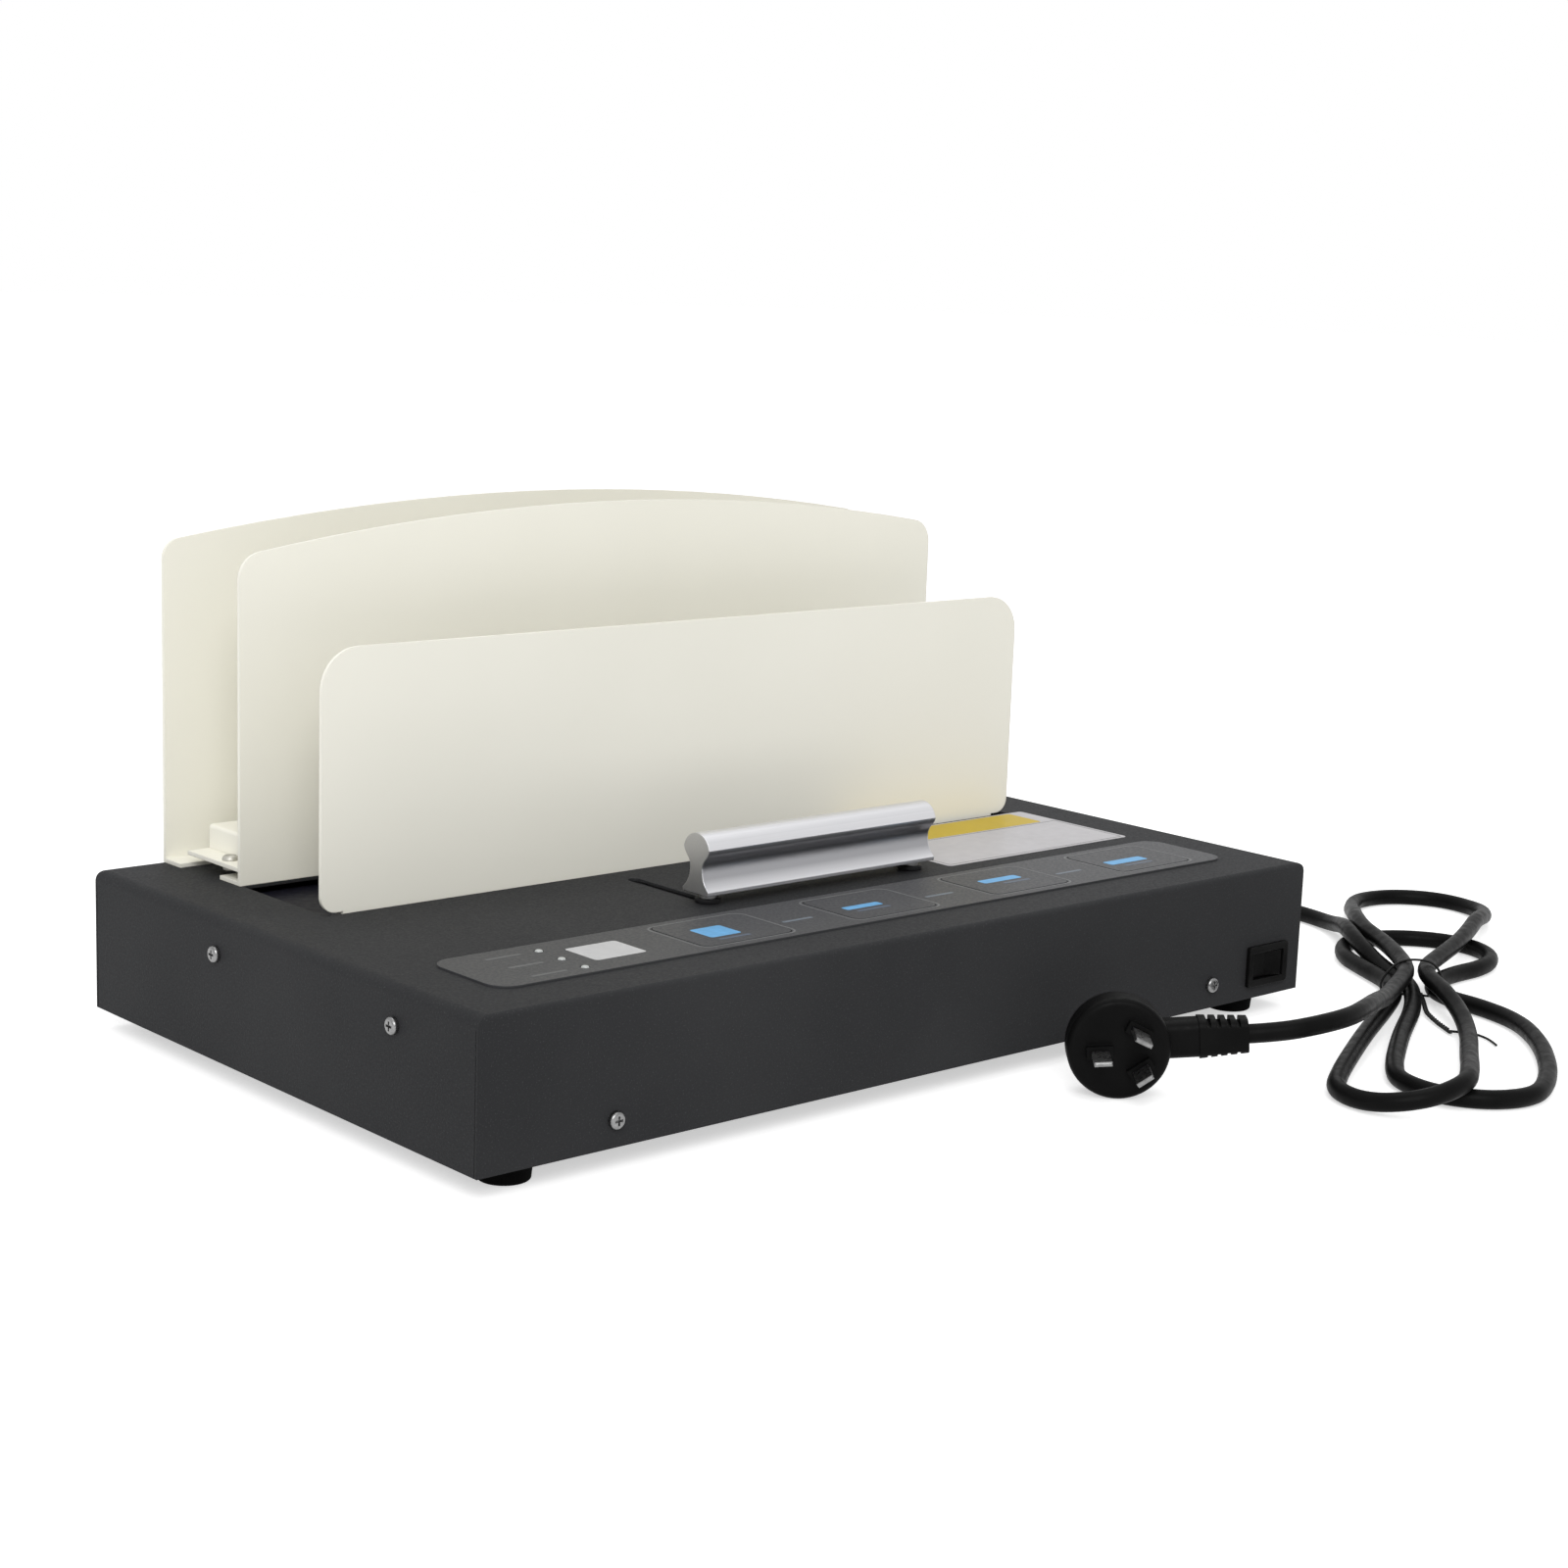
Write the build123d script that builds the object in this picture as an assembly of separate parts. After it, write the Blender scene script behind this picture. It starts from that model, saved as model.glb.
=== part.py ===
from build123d import *
import os
from math import cos, radians, sin, tan

# Thermal binding machine.  All lengths are millimetres.
# Frame: X to the right along the front, Y to the back, Z up; the origin is on
# the floor under the middle of the housing.

# ---------------------------------------------------------------- housing
HOUSING_W = 400.0
HOUSING_D = 240.0
HOUSING_H = 51.5
FOOT_H = 8.0
SHEET = 1.2
SIDE_BEND = 4.0
END_BEND = 1.8
SEAM = 0.3
SEAM_TOP_MARGIN = 4.6
PAN_FIT = 0.2
PAN_SIDE_H = 42.0
PAN_END_H = 16.0

FOOT_R_TOP = 9.5
FOOT_R_BOTTOM = 8.6
FOOT_X = HOUSING_W / 2 - 22.0
FOOT_Y = HOUSING_D / 2 - 16.0
FOOT_RECESS_R = 4.6
FOOT_RECESS_DEPTH = 4.0
FOOT_EDGE = 0.8

# ---------------------------------------------------------------- screws
M3_SHANK_R = 1.5
M3_HEAD_R = 3.0
M3_HEAD_H = 2.0
M3_LENGTH = 6.0
SCREW_CLEARANCE = 0.15
CROSS_W = 0.8
CROSS_L = 3.2
CROSS_DEPTH = 1.1
M4_SHANK_R = 2.0
M4_HEAD_R = 3.8
M4_HEAD_H = 2.4
FOOT_SCREW_LENGTH = 7.0

SIDE_SCREW_Y = (-HOUSING_D * 0.31, HOUSING_D * 0.1435)
SIDE_SCREW_Z = 38.3
END_SCREW_X = HOUSING_W / 2 - 53.6
END_SCREW_Z = 9.3

# ---------------------------------------------------------------- binding slot and clamp
SLOT_W = HOUSING_W - 62.0
SLOT_FRONT = HOUSING_D * 14 / 240
SLOT_BACK = HOUSING_D * 68.5 / 240
PANEL_W = HOUSING_W - 60.0
PANEL_SHEET = 1.5
PANEL_GAP = 0.4
FRONT_PANEL_H = 92.8
FRONT_PANEL_INSET = 1.4
FRONT_TOP_R = 15.0
FRONT_BOTTOM_R = 6.0
NECK_W = SLOT_W - 16.0
SLIDER_GAP = 0.4
SLIDER_FRONT = -HOUSING_D * 58 / 240
CLAMP_TRAVEL = SLOT_BACK - SLOT_FRONT - 12.5

HANDLE_L = 113.0
HANDLE_X = 6.5
HANDLE_Y = -HOUSING_D * 42 / 240
HANDLE_H = 22.0
HANDLE_HALF = 7.0
HANDLE_WAIST = 3.3
HANDLE_LIFT = 4.0
HANDLE_FOOT_LAND = 1.3
HANDLE_DOME_H = 5.5
POST_PITCH = 101.0
POST_R = 3.2
POST_SHANK_R = 2.2
GLIDE_R = 4.8
GLIDE_H = 1.5
GLIDE_GAP = 0.3
GLIDE_BORE_FIT = 0.05
GUIDE_SLOT_W = 5.0
GUIDE_SLOT_END_GAP = 0.5
HANDLE_SCREW_GRIP = 6.0

ROD_R = 4.0
ROD_X = HOUSING_W * 0.28
ROD_Z = 30.0
ROD_END_GAP = 4.0
BUSH_WALL = 2.0
BUSH_RUNNING_FIT = 0.05
BLOCK_W = 20.0
BLOCK_L = 16.0
BLOCK_Y = -HOUSING_D * 44 / 240
BLOCK_UNDER = 7.0
BRACKET_T = 6.0
BRACKET_W = 22.0
BRACKET_OVER = 6.0
BRACKET_FOOT_L = 9.0
BRACKET_FOOT_T = 2.0
BLOCK_SCREW_GRIP = 6.0

# ---------------------------------------------------------------- cooling rack
PANEL_EDGE_H = 118.5
PANEL_MID_H = 133.0
PANEL_CORNER_R = 10.0
MIDDLE_PANEL_INSET = 0.5
MIDDLE_FLANGE_D = 12.5
REAR_PANEL_W = PANEL_W + 5.0
REAR_PANEL_EDGE_H = 119.3
REAR_PANEL_CORNER_R = 7.5
REAR_PANEL_INSET = 0.6
REAR_FLANGE_D = 11.0
SHELF_LIFT = 5.0
SHELF_SHEET = 1.5
SHELF_BACK_GAP = 12.0
TRAY_MARGIN = 9.0
TRAY_H = 9.0
TRAY_SHEET = 1.5
TRAY_FRONT_GAP = 1.0
SPACER_L = 36.0
SPACER_D = 14.0
SPACER_INSET = 24.0
RACK_SCREW_R = 3.0
RACK_SCREW_DOME = 1.9
RACK_SCREW_INSET = 4.9
RACK_SCREW_Y = 13.4
RIVET_R = 2.4
RIVET_X = (-PANEL_W * 7 / 17, -PANEL_W * 12 / 85, PANEL_W * 12 / 85, PANEL_W * 7 / 17)

# ---------------------------------------------------------------- control panel
OVERLAY_W = HOUSING_W - 46.0
OVERLAY_D = 40.0
OVERLAY_Y = -HOUSING_D * 79 / 240
OVERLAY_T = 0.7
OVERLAY_R = 8.0
KEY_X = tuple(OVERLAY_W * mark / 354 for mark in (-69, 1, 71, 141))
KEY_W = 40.0
KEY_D = 31.0
KEY_R = 3.5
KEY_GAP = 0.35
KEY_T = 0.4
KEY_HOVER = 0.4
KEY_TRAVEL = 0.3
STEM_R = 1.6
STEM_HOLE_R = 2.4
WINDOW_X = -OVERLAY_W * 119.5 / 354
WINDOW_W = 21.5
WINDOW_D = 18.0
WINDOW_R = 1.5
LED_X = -OVERLAY_W * 138.5 / 354
LED_PITCH = 12.5
LED_R = 1.5
LED_PROUD = 0.5
LED_HOLE_FIT = 0.2
BOARD_T = 1.6
BOARD_X0 = -OVERLAY_W / 2 + 25.0
BOARD_X1 = OVERLAY_W / 2 - 11.0
BOARD_D = 35.0
SWITCH_W = 6.0
SWITCH_H = 3.5
PLUNGER_R = 1.75
PLUNGER_FIT = 0.06
PLUNGER_LENGTH = 3.0
PLUNGER_PROUD = 1.2
BOARD_POST_R = 2.6
BOARD_POST_X = (BOARD_X0 + 4, -OVERLAY_W * 92 / 354, OVERLAY_W * 36 / 354, BOARD_X1 - 4)
BOARD_POST_INSET = 3.2
PLUNGER_TOP_DROP = 1.6

# ---------------------------------------------------------------- power switch
ROCKER_X = HOUSING_W / 2 - 20.7
ROCKER_Z = 21.0
BEZEL_W = 23.6
BEZEL_H = 16.2
BEZEL_T = 1.6
BEZEL_BODY_W = 20.6
BEZEL_BODY_H = 13.2
BEZEL_BODY_D = 17.0
BEZEL_WALL = 1.2
BEZEL_CUTOUT_FIT = 0.2
ROCKER_GAP = 0.45
ROCKER_END_GAP = 1.0
ROCKER_THROW = 14.0
ROCKER_PIVOT_DEPTH = 4.6
ROCKER_PIN_R = 1.1
ROCKER_PIN_FIT = 0.06
ROCKER_DEPTH = 5.2
ROCKER_PROUD = 0.8
ROCKER_DISH = 0.8
TERMINAL_L = 7.0
TERMINAL_W = 4.8
TERMINAL_T = 0.8

# ---------------------------------------------------------------- heater
PLATE_MARGIN = 4.0
PLATE_FRONT_GAP = 2.0
PLATE_T = 5.0
PLATE_DROP = 2.7
HEATER_T = 2.5
HEATER_D = 24.0
HEATER_END_GAP = 30.0
HEATER_CLAMP_T = 1.5
INSULATION_T = 6.0
PILLAR_R = 4.5
PILLAR_X_INSET = 8.0
PILLAR_Y_INSET = 7.0
THERMOSTAT_R = 8.0
THERMOSTAT_H = 9.0
THERMOSTAT_GAP = 3.0
FUSE_R = 2.0
FUSE_L = 14.0
FUSE_CLIP_T = 1.0

# ---------------------------------------------------------------- main electronics
MAIN_BOARD_X0 = -80.0
MAIN_BOARD_X1 = 30.0
MAIN_BOARD_Y0 = -50.0
MAIN_BOARD_Y1 = 6.0
STANDOFF_H = 7.0
STANDOFF_R = 2.8
STANDOFF_INSET = 5.0
RELAY_SIZE = (19.0, 15.5, 15.0)
RELAY_AT = (-60.0, -30.0)
CAPACITOR_R = 6.5
CAPACITOR_H = 20.0
CAPACITOR_AT = (-32.0, -32.0)
BUZZER_R = 6.0
BUZZER_H = 8.5
BUZZER_AT = (14.0, -36.0)
TERMINAL_SIZE = (44.0, 10.0, 11.0)
TERMINAL_AT = (-26.0, -4.0)
CORE_SIZE = (41.0, 14.0, 34.0)
COIL_SIZE = (25.0, 30.0, 22.0)
TRANSFORMER_AT = (62.0, -20.0)

# ---------------------------------------------------------------- sticker
STICKER_X0 = HANDLE_X + POST_PITCH / 2 + 16.0
STICKER_X1 = HOUSING_W / 2 - 24.0
STICKER_Y0 = -HOUSING_D * 0.2
STICKER_Y1 = SLOT_FRONT - 1.5
STICKER_T = 0.15

# ---------------------------------------------------------------- mains cord
CORD_R = 3.5
GLAND_Y = 60.0
GLAND_Z = 26.0
GLAND_L = 28.0
GLAND_FLANGE_R = 9.0
GLAND_FLANGE_T = 2.5
GLAND_NECK_R = 7.0
GLAND_GROOVE_T = 1.2
GLAND_TIP_R = 5.0
GLAND_INNER_L = 9.0
PLUG_R = 18.4
PLUG_T = 18.0
PLUG_FACE_EDGE = 2.5
PLUG_BACK_EDGE = 8.0
PLUG_NECK_H = 13.6
PLUG_NECK_T = 11.5
PLUG_NECK_X = 29.0
PLUG_NECK_BACK = 3.2
PLUG_NECK_EDGE = 3.5
PLUG_RELIEF_X = 46.5
PLUG_RELIEF_H = 14.4
PLUG_RELIEF_T = 12.5
PLUG_RELIEF_END = 0.86
PLUG_RELIEF_EDGE = 3.4
PLUG_RIBS = 4
PLUG_RIB_GAP = 1.4
PLUG_RIB_TOP_DEPTH = 2.4
PLUG_RIB_UNDER_DEPTH = 1.2
PIN_W = 6.3
PIN_T = 1.6
PIN_L = 17.0
PIN_BURIED = 4.0
PIN_COLLAR_W = 9.4
PIN_COLLAR_T = 4.4
PIN_COLLAR_H = 3.0
EARTH_PIN_L = 17.0
EARTH_PIN_X = -7.0
LIVE_PIN_X = 7.2
LIVE_PIN_Y = 6.85
LIVE_PIN_TILT = 30.0

# Route of the cord from the gland to the tied hank, and from there to the plug.
LEAD_ROUTE = [
    (228, 60, 26),
    (256, 60, 26),
    (288, 50, 18),
    (313, 25, 8),
    (324, -7, 3.5),
    (323, -30, 3.5),
    (317, -49, 4),
]
TAIL_ROUTE = [
    (206, -160, 13),
    (185.5, -172.3, 17.5),
    (164, -183.8, 22.1),
    (144.5, -194.2, 25.3),
    (126, -200.9, 26.4),
    (109, -199.8, 25.8),
    (95.7, -193.6, 23.92),
    (87, -185.5, 22.8),
]
# Outlines on the floor of the two ends of the tied hank, and of the daylight in them.
HANK_FAR = [
    (250, -133), (260, -112), (264, -95), (277, -77), (298, -67.5), (318, -60), (340, -38),
    (362, -22), (387, -21), (404, -37), (408, -58), (398, -78), (372, -94), (349, -107),
    (339, -125), (314, -139.5), (286, -141), (264, -146),
]
HANK_NEAR = [
    (247, -135), (216, -150), (184, -165), (152, -179), (126, -193), (106, -207),
    (100, -228), (111, -247), (134, -256), (162, -258), (186, -250), (209, -236), (231, -218),
    (250, -196), (258, -172), (259, -152),
]
FAR_DAYLIGHT = [
    [(331, -62), (350, -42), (371, -31), (389, -37), (396, -55), (388, -74), (361, -89),
     (343, -94), (333, -80)],
    [(303, -86), (318, -83), (329, -97), (322, -108), (300, -117), (286, -121), (291, -103)],
]
NEAR_DAYLIGHT = [
    [(197, -182), (160, -204), (144, -217), (141, -233), (150, -232), (176, -213), (205, -189),
     (222, -172)],
    [(178, -238), (158, -248), (146, -244), (152, -243), (180, -224), (212, -198), (240, -171),
     (244, -190), (226, -211), (204, -229)],
    [(150, -189), (123, -205), (112, -218), (117, -234), (124, -234), (124, -217), (142, -199)],
]
HANK_H = 8.0
HANK_WAIST_AT = (256.0, -140.0)
HANK_WAIST_YAW = 40.0
HANK_WAIST_L = 36.0
HANK_WAIST_HALF_W = 15.0
HANK_WAIST_HALF_H = 7.5
LEAD_STUB = 16.0
TAIL_STUB = 36.0
TIE_R = 0.75
TIE_W = 2.2
TIE_GAP = 0.4
FLOOR_GAP = 0.3

# ---------------------------------------------------------------- derived places
BASE_Z = FOOT_H
TOP_Z = FOOT_H + HOUSING_H
UNDER_TOP = TOP_Z - SHEET
FLOOR_Z = BASE_Z + SHEET
LEFT_X = -HOUSING_W / 2
RIGHT_X = HOUSING_W / 2
FRONT_Y = -HOUSING_D / 2
BACK_Y = HOUSING_D / 2
FRONT_PANEL_Y = SLOT_FRONT + FRONT_PANEL_INSET
SLIDER_TOP = UNDER_TOP - SLIDER_GAP
SLIDER_UNDER = SLIDER_TOP - PANEL_SHEET
MIDDLE_PANEL_Y = SLOT_BACK + MIDDLE_PANEL_INSET
SHELF_FRONT = MIDDLE_PANEL_Y + PANEL_SHEET
REAR_PANEL_Y = BACK_Y - REAR_PANEL_INSET - PANEL_SHEET
SHELF_BACK = REAR_PANEL_Y - SHELF_BACK_GAP
SHELF_UNDER = TOP_Z + SHELF_LIFT
SHELF_TOP = SHELF_UNDER + SHELF_SHEET
HANDLE_Z = TOP_Z + HANDLE_LIFT
POST_X = (HANDLE_X - POST_PITCH / 2, HANDLE_X + POST_PITCH / 2)
PLATE_TOP = UNDER_TOP - PLATE_DROP
PLATE_UNDER = PLATE_TOP - PLATE_T
PLATE_HALF = SLOT_W / 2 + PLATE_MARGIN
PLATE_FRONT = SLOT_FRONT - PLATE_FRONT_GAP
PLATE_BACK = SLOT_BACK + PLATE_MARGIN
PLATE_Y = (PLATE_FRONT + PLATE_BACK) / 2
HEATER_HALF = PLATE_HALF - HEATER_END_GAP
HEATER_UNDER = PLATE_UNDER - HEATER_T
CLAMP_UNDER = HEATER_UNDER - HEATER_CLAMP_T
OVERLAY_TOP = TOP_Z + OVERLAY_T
PLUNGER_TOP = UNDER_TOP - PLUNGER_TOP_DROP
SWITCH_TOP = PLUNGER_TOP - PLUNGER_PROUD
BOARD_TOP = SWITCH_TOP - SWITCH_H
BOARD_UNDER = BOARD_TOP - BOARD_T
BOARD_Y0 = OVERLAY_Y - BOARD_D / 2
BOARD_Y1 = OVERLAY_Y + BOARD_D / 2
LED_Y = tuple(OVERLAY_Y - 1.0 + LED_PITCH * k for k in (-1, 0, 1))
BOARD_POSTS = [(x, y) for x in BOARD_POST_X
               for y in (BOARD_Y0 + BOARD_POST_INSET, BOARD_Y1 - BOARD_POST_INSET)]
MAIN_BOARD_UNDER = FLOOR_Z + STANDOFF_H
MAIN_BOARD_TOP = MAIN_BOARD_UNDER + BOARD_T
BUSH_R = ROD_R + BUSH_RUNNING_FIT + BUSH_WALL
BLOCK_BOTTOM = ROD_Z - BUSH_R - BLOCK_UNDER / 2
ROD_FRONT = BLOCK_Y - BLOCK_L / 2 - ROD_END_GAP - BRACKET_T
ROD_BACK = BLOCK_Y + BLOCK_L / 2 + CLAMP_TRAVEL + ROD_END_GAP + BRACKET_T
CORD_SHIFT = RIGHT_X + GLAND_L - LEAD_ROUTE[0][0]
CORD_NODES = ("cord_lead", "cord_tail", "cord_hank", "cord_tie", "plug_body", "plug_pins")
FOOT_PLACES = [(sx * FOOT_X, sy * FOOT_Y) for sx in (-1, 1) for sy in (-1, 1)]


# ================================================================ helpers
def block(x0, x1, y0, y1, z0, z1):
    """Box between two opposite corners."""
    return Pos((x0 + x1) / 2, (y0 + y1) / 2, (z0 + z1) / 2) * Box(x1 - x0, y1 - y0, z1 - z0)


def post(x, y, z0, z1, r):
    """Upright cylinder."""
    return Pos(x, y, (z0 + z1) / 2) * Cylinder(r, z1 - z0)


def bar_x(y, z, x0, x1, r):
    """Cylinder along X."""
    return Pos((x0 + x1) / 2, y, z) * Rot(0, 90, 0) * Cylinder(r, x1 - x0)


def bar_y(x, z, y0, y1, r):
    """Cylinder along Y."""
    return Pos(x, (y0 + y1) / 2, z) * Rot(90, 0, 0) * Cylinder(r, y1 - y0)


def rounded_plate(x, y, z0, w, d, t, r):
    """Flat plate with rounded corners, lying at z0."""
    return Pos(x, y, z0) * extrude(RectangleRounded(w, d, r), amount=t)


def group(shapes):
    """Separate solids kept as one node."""
    return Compound(children=list(shapes))


def screw(head_r, head_h, shank_r, length):
    """Pan-head screw along +Z: head below z = 0, shank above it."""
    head = Pos(0, 0, -head_h / 2) * Cylinder(head_r, head_h)
    head = fillet(head.edges().group_by(Axis.Z)[0], head_h * 0.55)
    body = head + Pos(0, 0, length / 2) * Cylinder(shank_r, length)
    scale = head_r / M3_HEAD_R
    slot_l = CROSS_L * scale
    slot_w = CROSS_W * scale
    at = Pos(0, 0, -head_h + CROSS_DEPTH / 2)
    return body - at * Box(slot_l, slot_w, CROSS_DEPTH) - at * Box(slot_w, slot_l, CROSS_DEPTH)


def cord_tube(points, r):
    """Straight runs joined by the largest arcs that their runs allow."""
    vectors = [Vector(*p) for p in points]
    radii = []
    for before, corner, after in zip(vectors, vectors[1:], vectors[2:]):
        turn = (corner - before).get_angle(after - corner)
        shorter = min((corner - before).length, (after - corner).length)
        radii.append(0.45 * shorter / tan(radians(turn) / 2))
    path = FilletPolyline(*vectors, radius=radii)
    start = Plane(origin=path @ 0, z_dir=path % 0)
    tube = sweep(start * Circle(r), path=path)
    print("cord radii", [round(v) for v in radii], "length", round(path.length),
          "volume ratio", round(tube.volume / (Circle(r).area * path.length), 4))
    return tube


# ================================================================ housing
def shell_body(inset, z_top):
    """Housing block with its top bends, shrunk by inset on the four sides."""
    half_w = HOUSING_W / 2 - inset
    half_d = HOUSING_D / 2 - inset
    height = z_top - BASE_Z
    across = Rectangle(2 * half_w, height)
    across = fillet(across.vertices().group_by(Axis.Y)[-1], SIDE_BEND - inset)
    along = Rectangle(2 * half_d, height)
    along = fillet(along.vertices().group_by(Axis.Y)[-1], END_BEND - inset)
    mid = Pos(0, 0, BASE_Z + height / 2)
    slab_x = mid * extrude(Plane.XZ * across, amount=half_d, both=True)
    slab_y = mid * extrude(Plane.YZ * along, amount=half_w, both=True)
    return slab_x & slab_y


def guide_slot(x):
    """Slot in the cover for one grip post."""
    front = HANDLE_Y - POST_SHANK_R - GUIDE_SLOT_END_GAP
    back = HANDLE_Y + CLAMP_TRAVEL + POST_SHANK_R + GUIDE_SLOT_END_GAP
    cut = SlotOverall(back - front, GUIDE_SLOT_W, rotation=90)
    return Pos(x, (front + back) / 2, UNDER_TOP - 1) * extrude(cut, amount=SHEET + 2)


def side_screw_places():
    """Head seat, and turn that points the shank inwards."""
    places = []
    for y in SIDE_SCREW_Y:
        places.append(Pos(LEFT_X, y, BASE_Z + SIDE_SCREW_Z) * Rot(0, 90, 0))
        places.append(Pos(RIGHT_X, y, BASE_Z + SIDE_SCREW_Z) * Rot(0, -90, 0))
    for x in (-END_SCREW_X, END_SCREW_X):
        places.append(Pos(x, FRONT_Y, BASE_Z + END_SCREW_Z) * Rot(-90, 0, 0))
        places.append(Pos(x, BACK_Y, BASE_Z + END_SCREW_Z) * Rot(90, 0, 0))
    return places


def screw_bores(r):
    """Bores through the side walls for the cover screws."""
    return [place * Cylinder(r, 4 * SHEET + 4 * PAN_FIT) for place in side_screw_places()]


def rivet_places():
    """Rivets that hold the two fixed panels on the cover."""
    middle_y = SHELF_FRONT + MIDDLE_FLANGE_D / 2
    rear_y = REAR_PANEL_Y - REAR_FLANGE_D / 2
    return [(x, y) for x in RIVET_X for y in (middle_y, rear_y)]


def top_cover():
    cover = shell_body(0, TOP_Z) - shell_body(SHEET, UNDER_TOP)
    seam_top = TOP_Z - SEAM_TOP_MARGIN
    for sx in (-1, 1):
        for sy in (-1, 1):
            x = sx * (HOUSING_W / 2 - SHEET / 2)
            y = sy * (HOUSING_D / 2 - SHEET - SEAM / 2)
            cover -= block(x - SHEET, x + SHEET, y - SEAM / 2, y + SEAM / 2, BASE_Z - 1, seam_top)
    cover -= block(-SLOT_W / 2, SLOT_W / 2, SLOT_FRONT, SLOT_BACK, UNDER_TOP - 1, TOP_Z + 1)
    for x in POST_X:
        cover -= guide_slot(x)
    cover -= rounded_plate(WINDOW_X, OVERLAY_Y, UNDER_TOP - 1, WINDOW_W, WINDOW_D, SHEET + 2,
                           WINDOW_R)
    for y in LED_Y:
        cover -= post(LED_X, y, UNDER_TOP - 1, TOP_Z + 1, LED_R + LED_HOLE_FIT)
    for x in KEY_X:
        cover -= post(x, OVERLAY_Y, UNDER_TOP - 1, TOP_Z + 1, STEM_HOLE_R)
    cut_w = BEZEL_BODY_W / 2 + BEZEL_CUTOUT_FIT
    cut_h = BEZEL_BODY_H / 2 + BEZEL_CUTOUT_FIT
    cover -= block(ROCKER_X - cut_w, ROCKER_X + cut_w, FRONT_Y - 1, FRONT_Y + SHEET + 1,
                   ROCKER_Z - cut_h, ROCKER_Z + cut_h)
    for bore in screw_bores(M3_SHANK_R + SCREW_CLEARANCE):
        cover -= bore
    cover -= bar_x(GLAND_Y, GLAND_Z, RIGHT_X - SHEET - 1, RIGHT_X + 1, GLAND_NECK_R)
    for x, y in rivet_places():
        cover -= post(x, y, UNDER_TOP - 1, TOP_Z + 1, RIVET_R / 2)
    for x, y in spacer_places():
        cover -= post(x, y, UNDER_TOP - 1, TOP_Z + 1, M3_SHANK_R + SCREW_CLEARANCE)
    return cover


def base_pan():
    gap = SHEET + PAN_FIT
    x = HOUSING_W / 2 - gap
    y = HOUSING_D / 2 - gap
    pan = block(-x, x, -y, y, BASE_Z, FLOOR_Z)
    for side in (-1, 1):
        inner = side * (x - SHEET)
        pan += block(min(side * x, inner), max(side * x, inner), -y, y, BASE_Z,
                     BASE_Z + PAN_SIDE_H)
        inner = side * (y - SHEET)
        pan += block(-x, x, min(side * y, inner), max(side * y, inner), BASE_Z,
                     BASE_Z + PAN_END_H)
    notch = BEZEL_BODY_W / 2 + 2 * BEZEL_CUTOUT_FIT
    notch_bottom = ROCKER_Z - BEZEL_BODY_H / 2 - 2 * BEZEL_CUTOUT_FIT
    pan -= block(ROCKER_X - notch, ROCKER_X + notch, -y - 1, -y + SHEET + 1, notch_bottom,
                 BASE_Z + PAN_END_H + 1)
    pan -= bar_x(GLAND_Y, GLAND_Z, x - SHEET - 1, x + 1, GLAND_FLANGE_R + PAN_FIT)
    for bore in screw_bores(M3_SHANK_R):
        pan -= bore
    for fx, fy in FOOT_PLACES:
        pan -= post(fx, fy, BASE_Z - 1, FLOOR_Z + 1, M4_SHANK_R)
    return pan


def rubber_feet():
    feet = []
    for x, y in FOOT_PLACES:
        foot = Pos(x, y, FOOT_H / 2) * Rot(180, 0, 0) * Cone(FOOT_R_TOP, FOOT_R_BOTTOM, FOOT_H)
        foot = fillet(foot.edges().group_by(Axis.Z)[0], FOOT_EDGE)
        foot -= post(x, y, -1, FOOT_RECESS_DEPTH, FOOT_RECESS_R)
        foot -= post(x, y, -1, FOOT_H + 1, M4_SHANK_R)
        feet.append(foot)
    return group(feet)


def foot_screws():
    tool = screw(M4_HEAD_R, M4_HEAD_H, M4_SHANK_R, FOOT_SCREW_LENGTH)
    return group(Pos(x, y, FOOT_RECESS_DEPTH) * tool for x, y in FOOT_PLACES)


def cover_screws():
    tool = screw(M3_HEAD_R, M3_HEAD_H, M3_SHANK_R, M3_LENGTH)
    return group(place * tool for place in side_screw_places())


# ================================================================ panels
def panel_face(width, edge_h, mid_h, top_r):
    """Upright panel outline with its bottom edge on local y = 0."""
    half = width / 2
    if mid_h > edge_h:
        top = ThreePointArc((half, edge_h), (0, mid_h), (-half, edge_h))
    else:
        top = Line((half, edge_h), (-half, edge_h))
    sides = Line((half, 0), (half, edge_h)) + Line((-half, edge_h), (-half, 0))
    face = make_face(Line((-half, 0), (half, 0)) + sides + top)
    corners = [v for v in face.vertices() if abs(v.Y - edge_h) < 0.01]
    return fillet(corners, top_r)


def upright(face, y0, z0, t):
    """Stand a flat outline up at y0, its thickness going to the back."""
    return Pos(0, y0, z0) * extrude(Plane.XZ * face, amount=-t)


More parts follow.
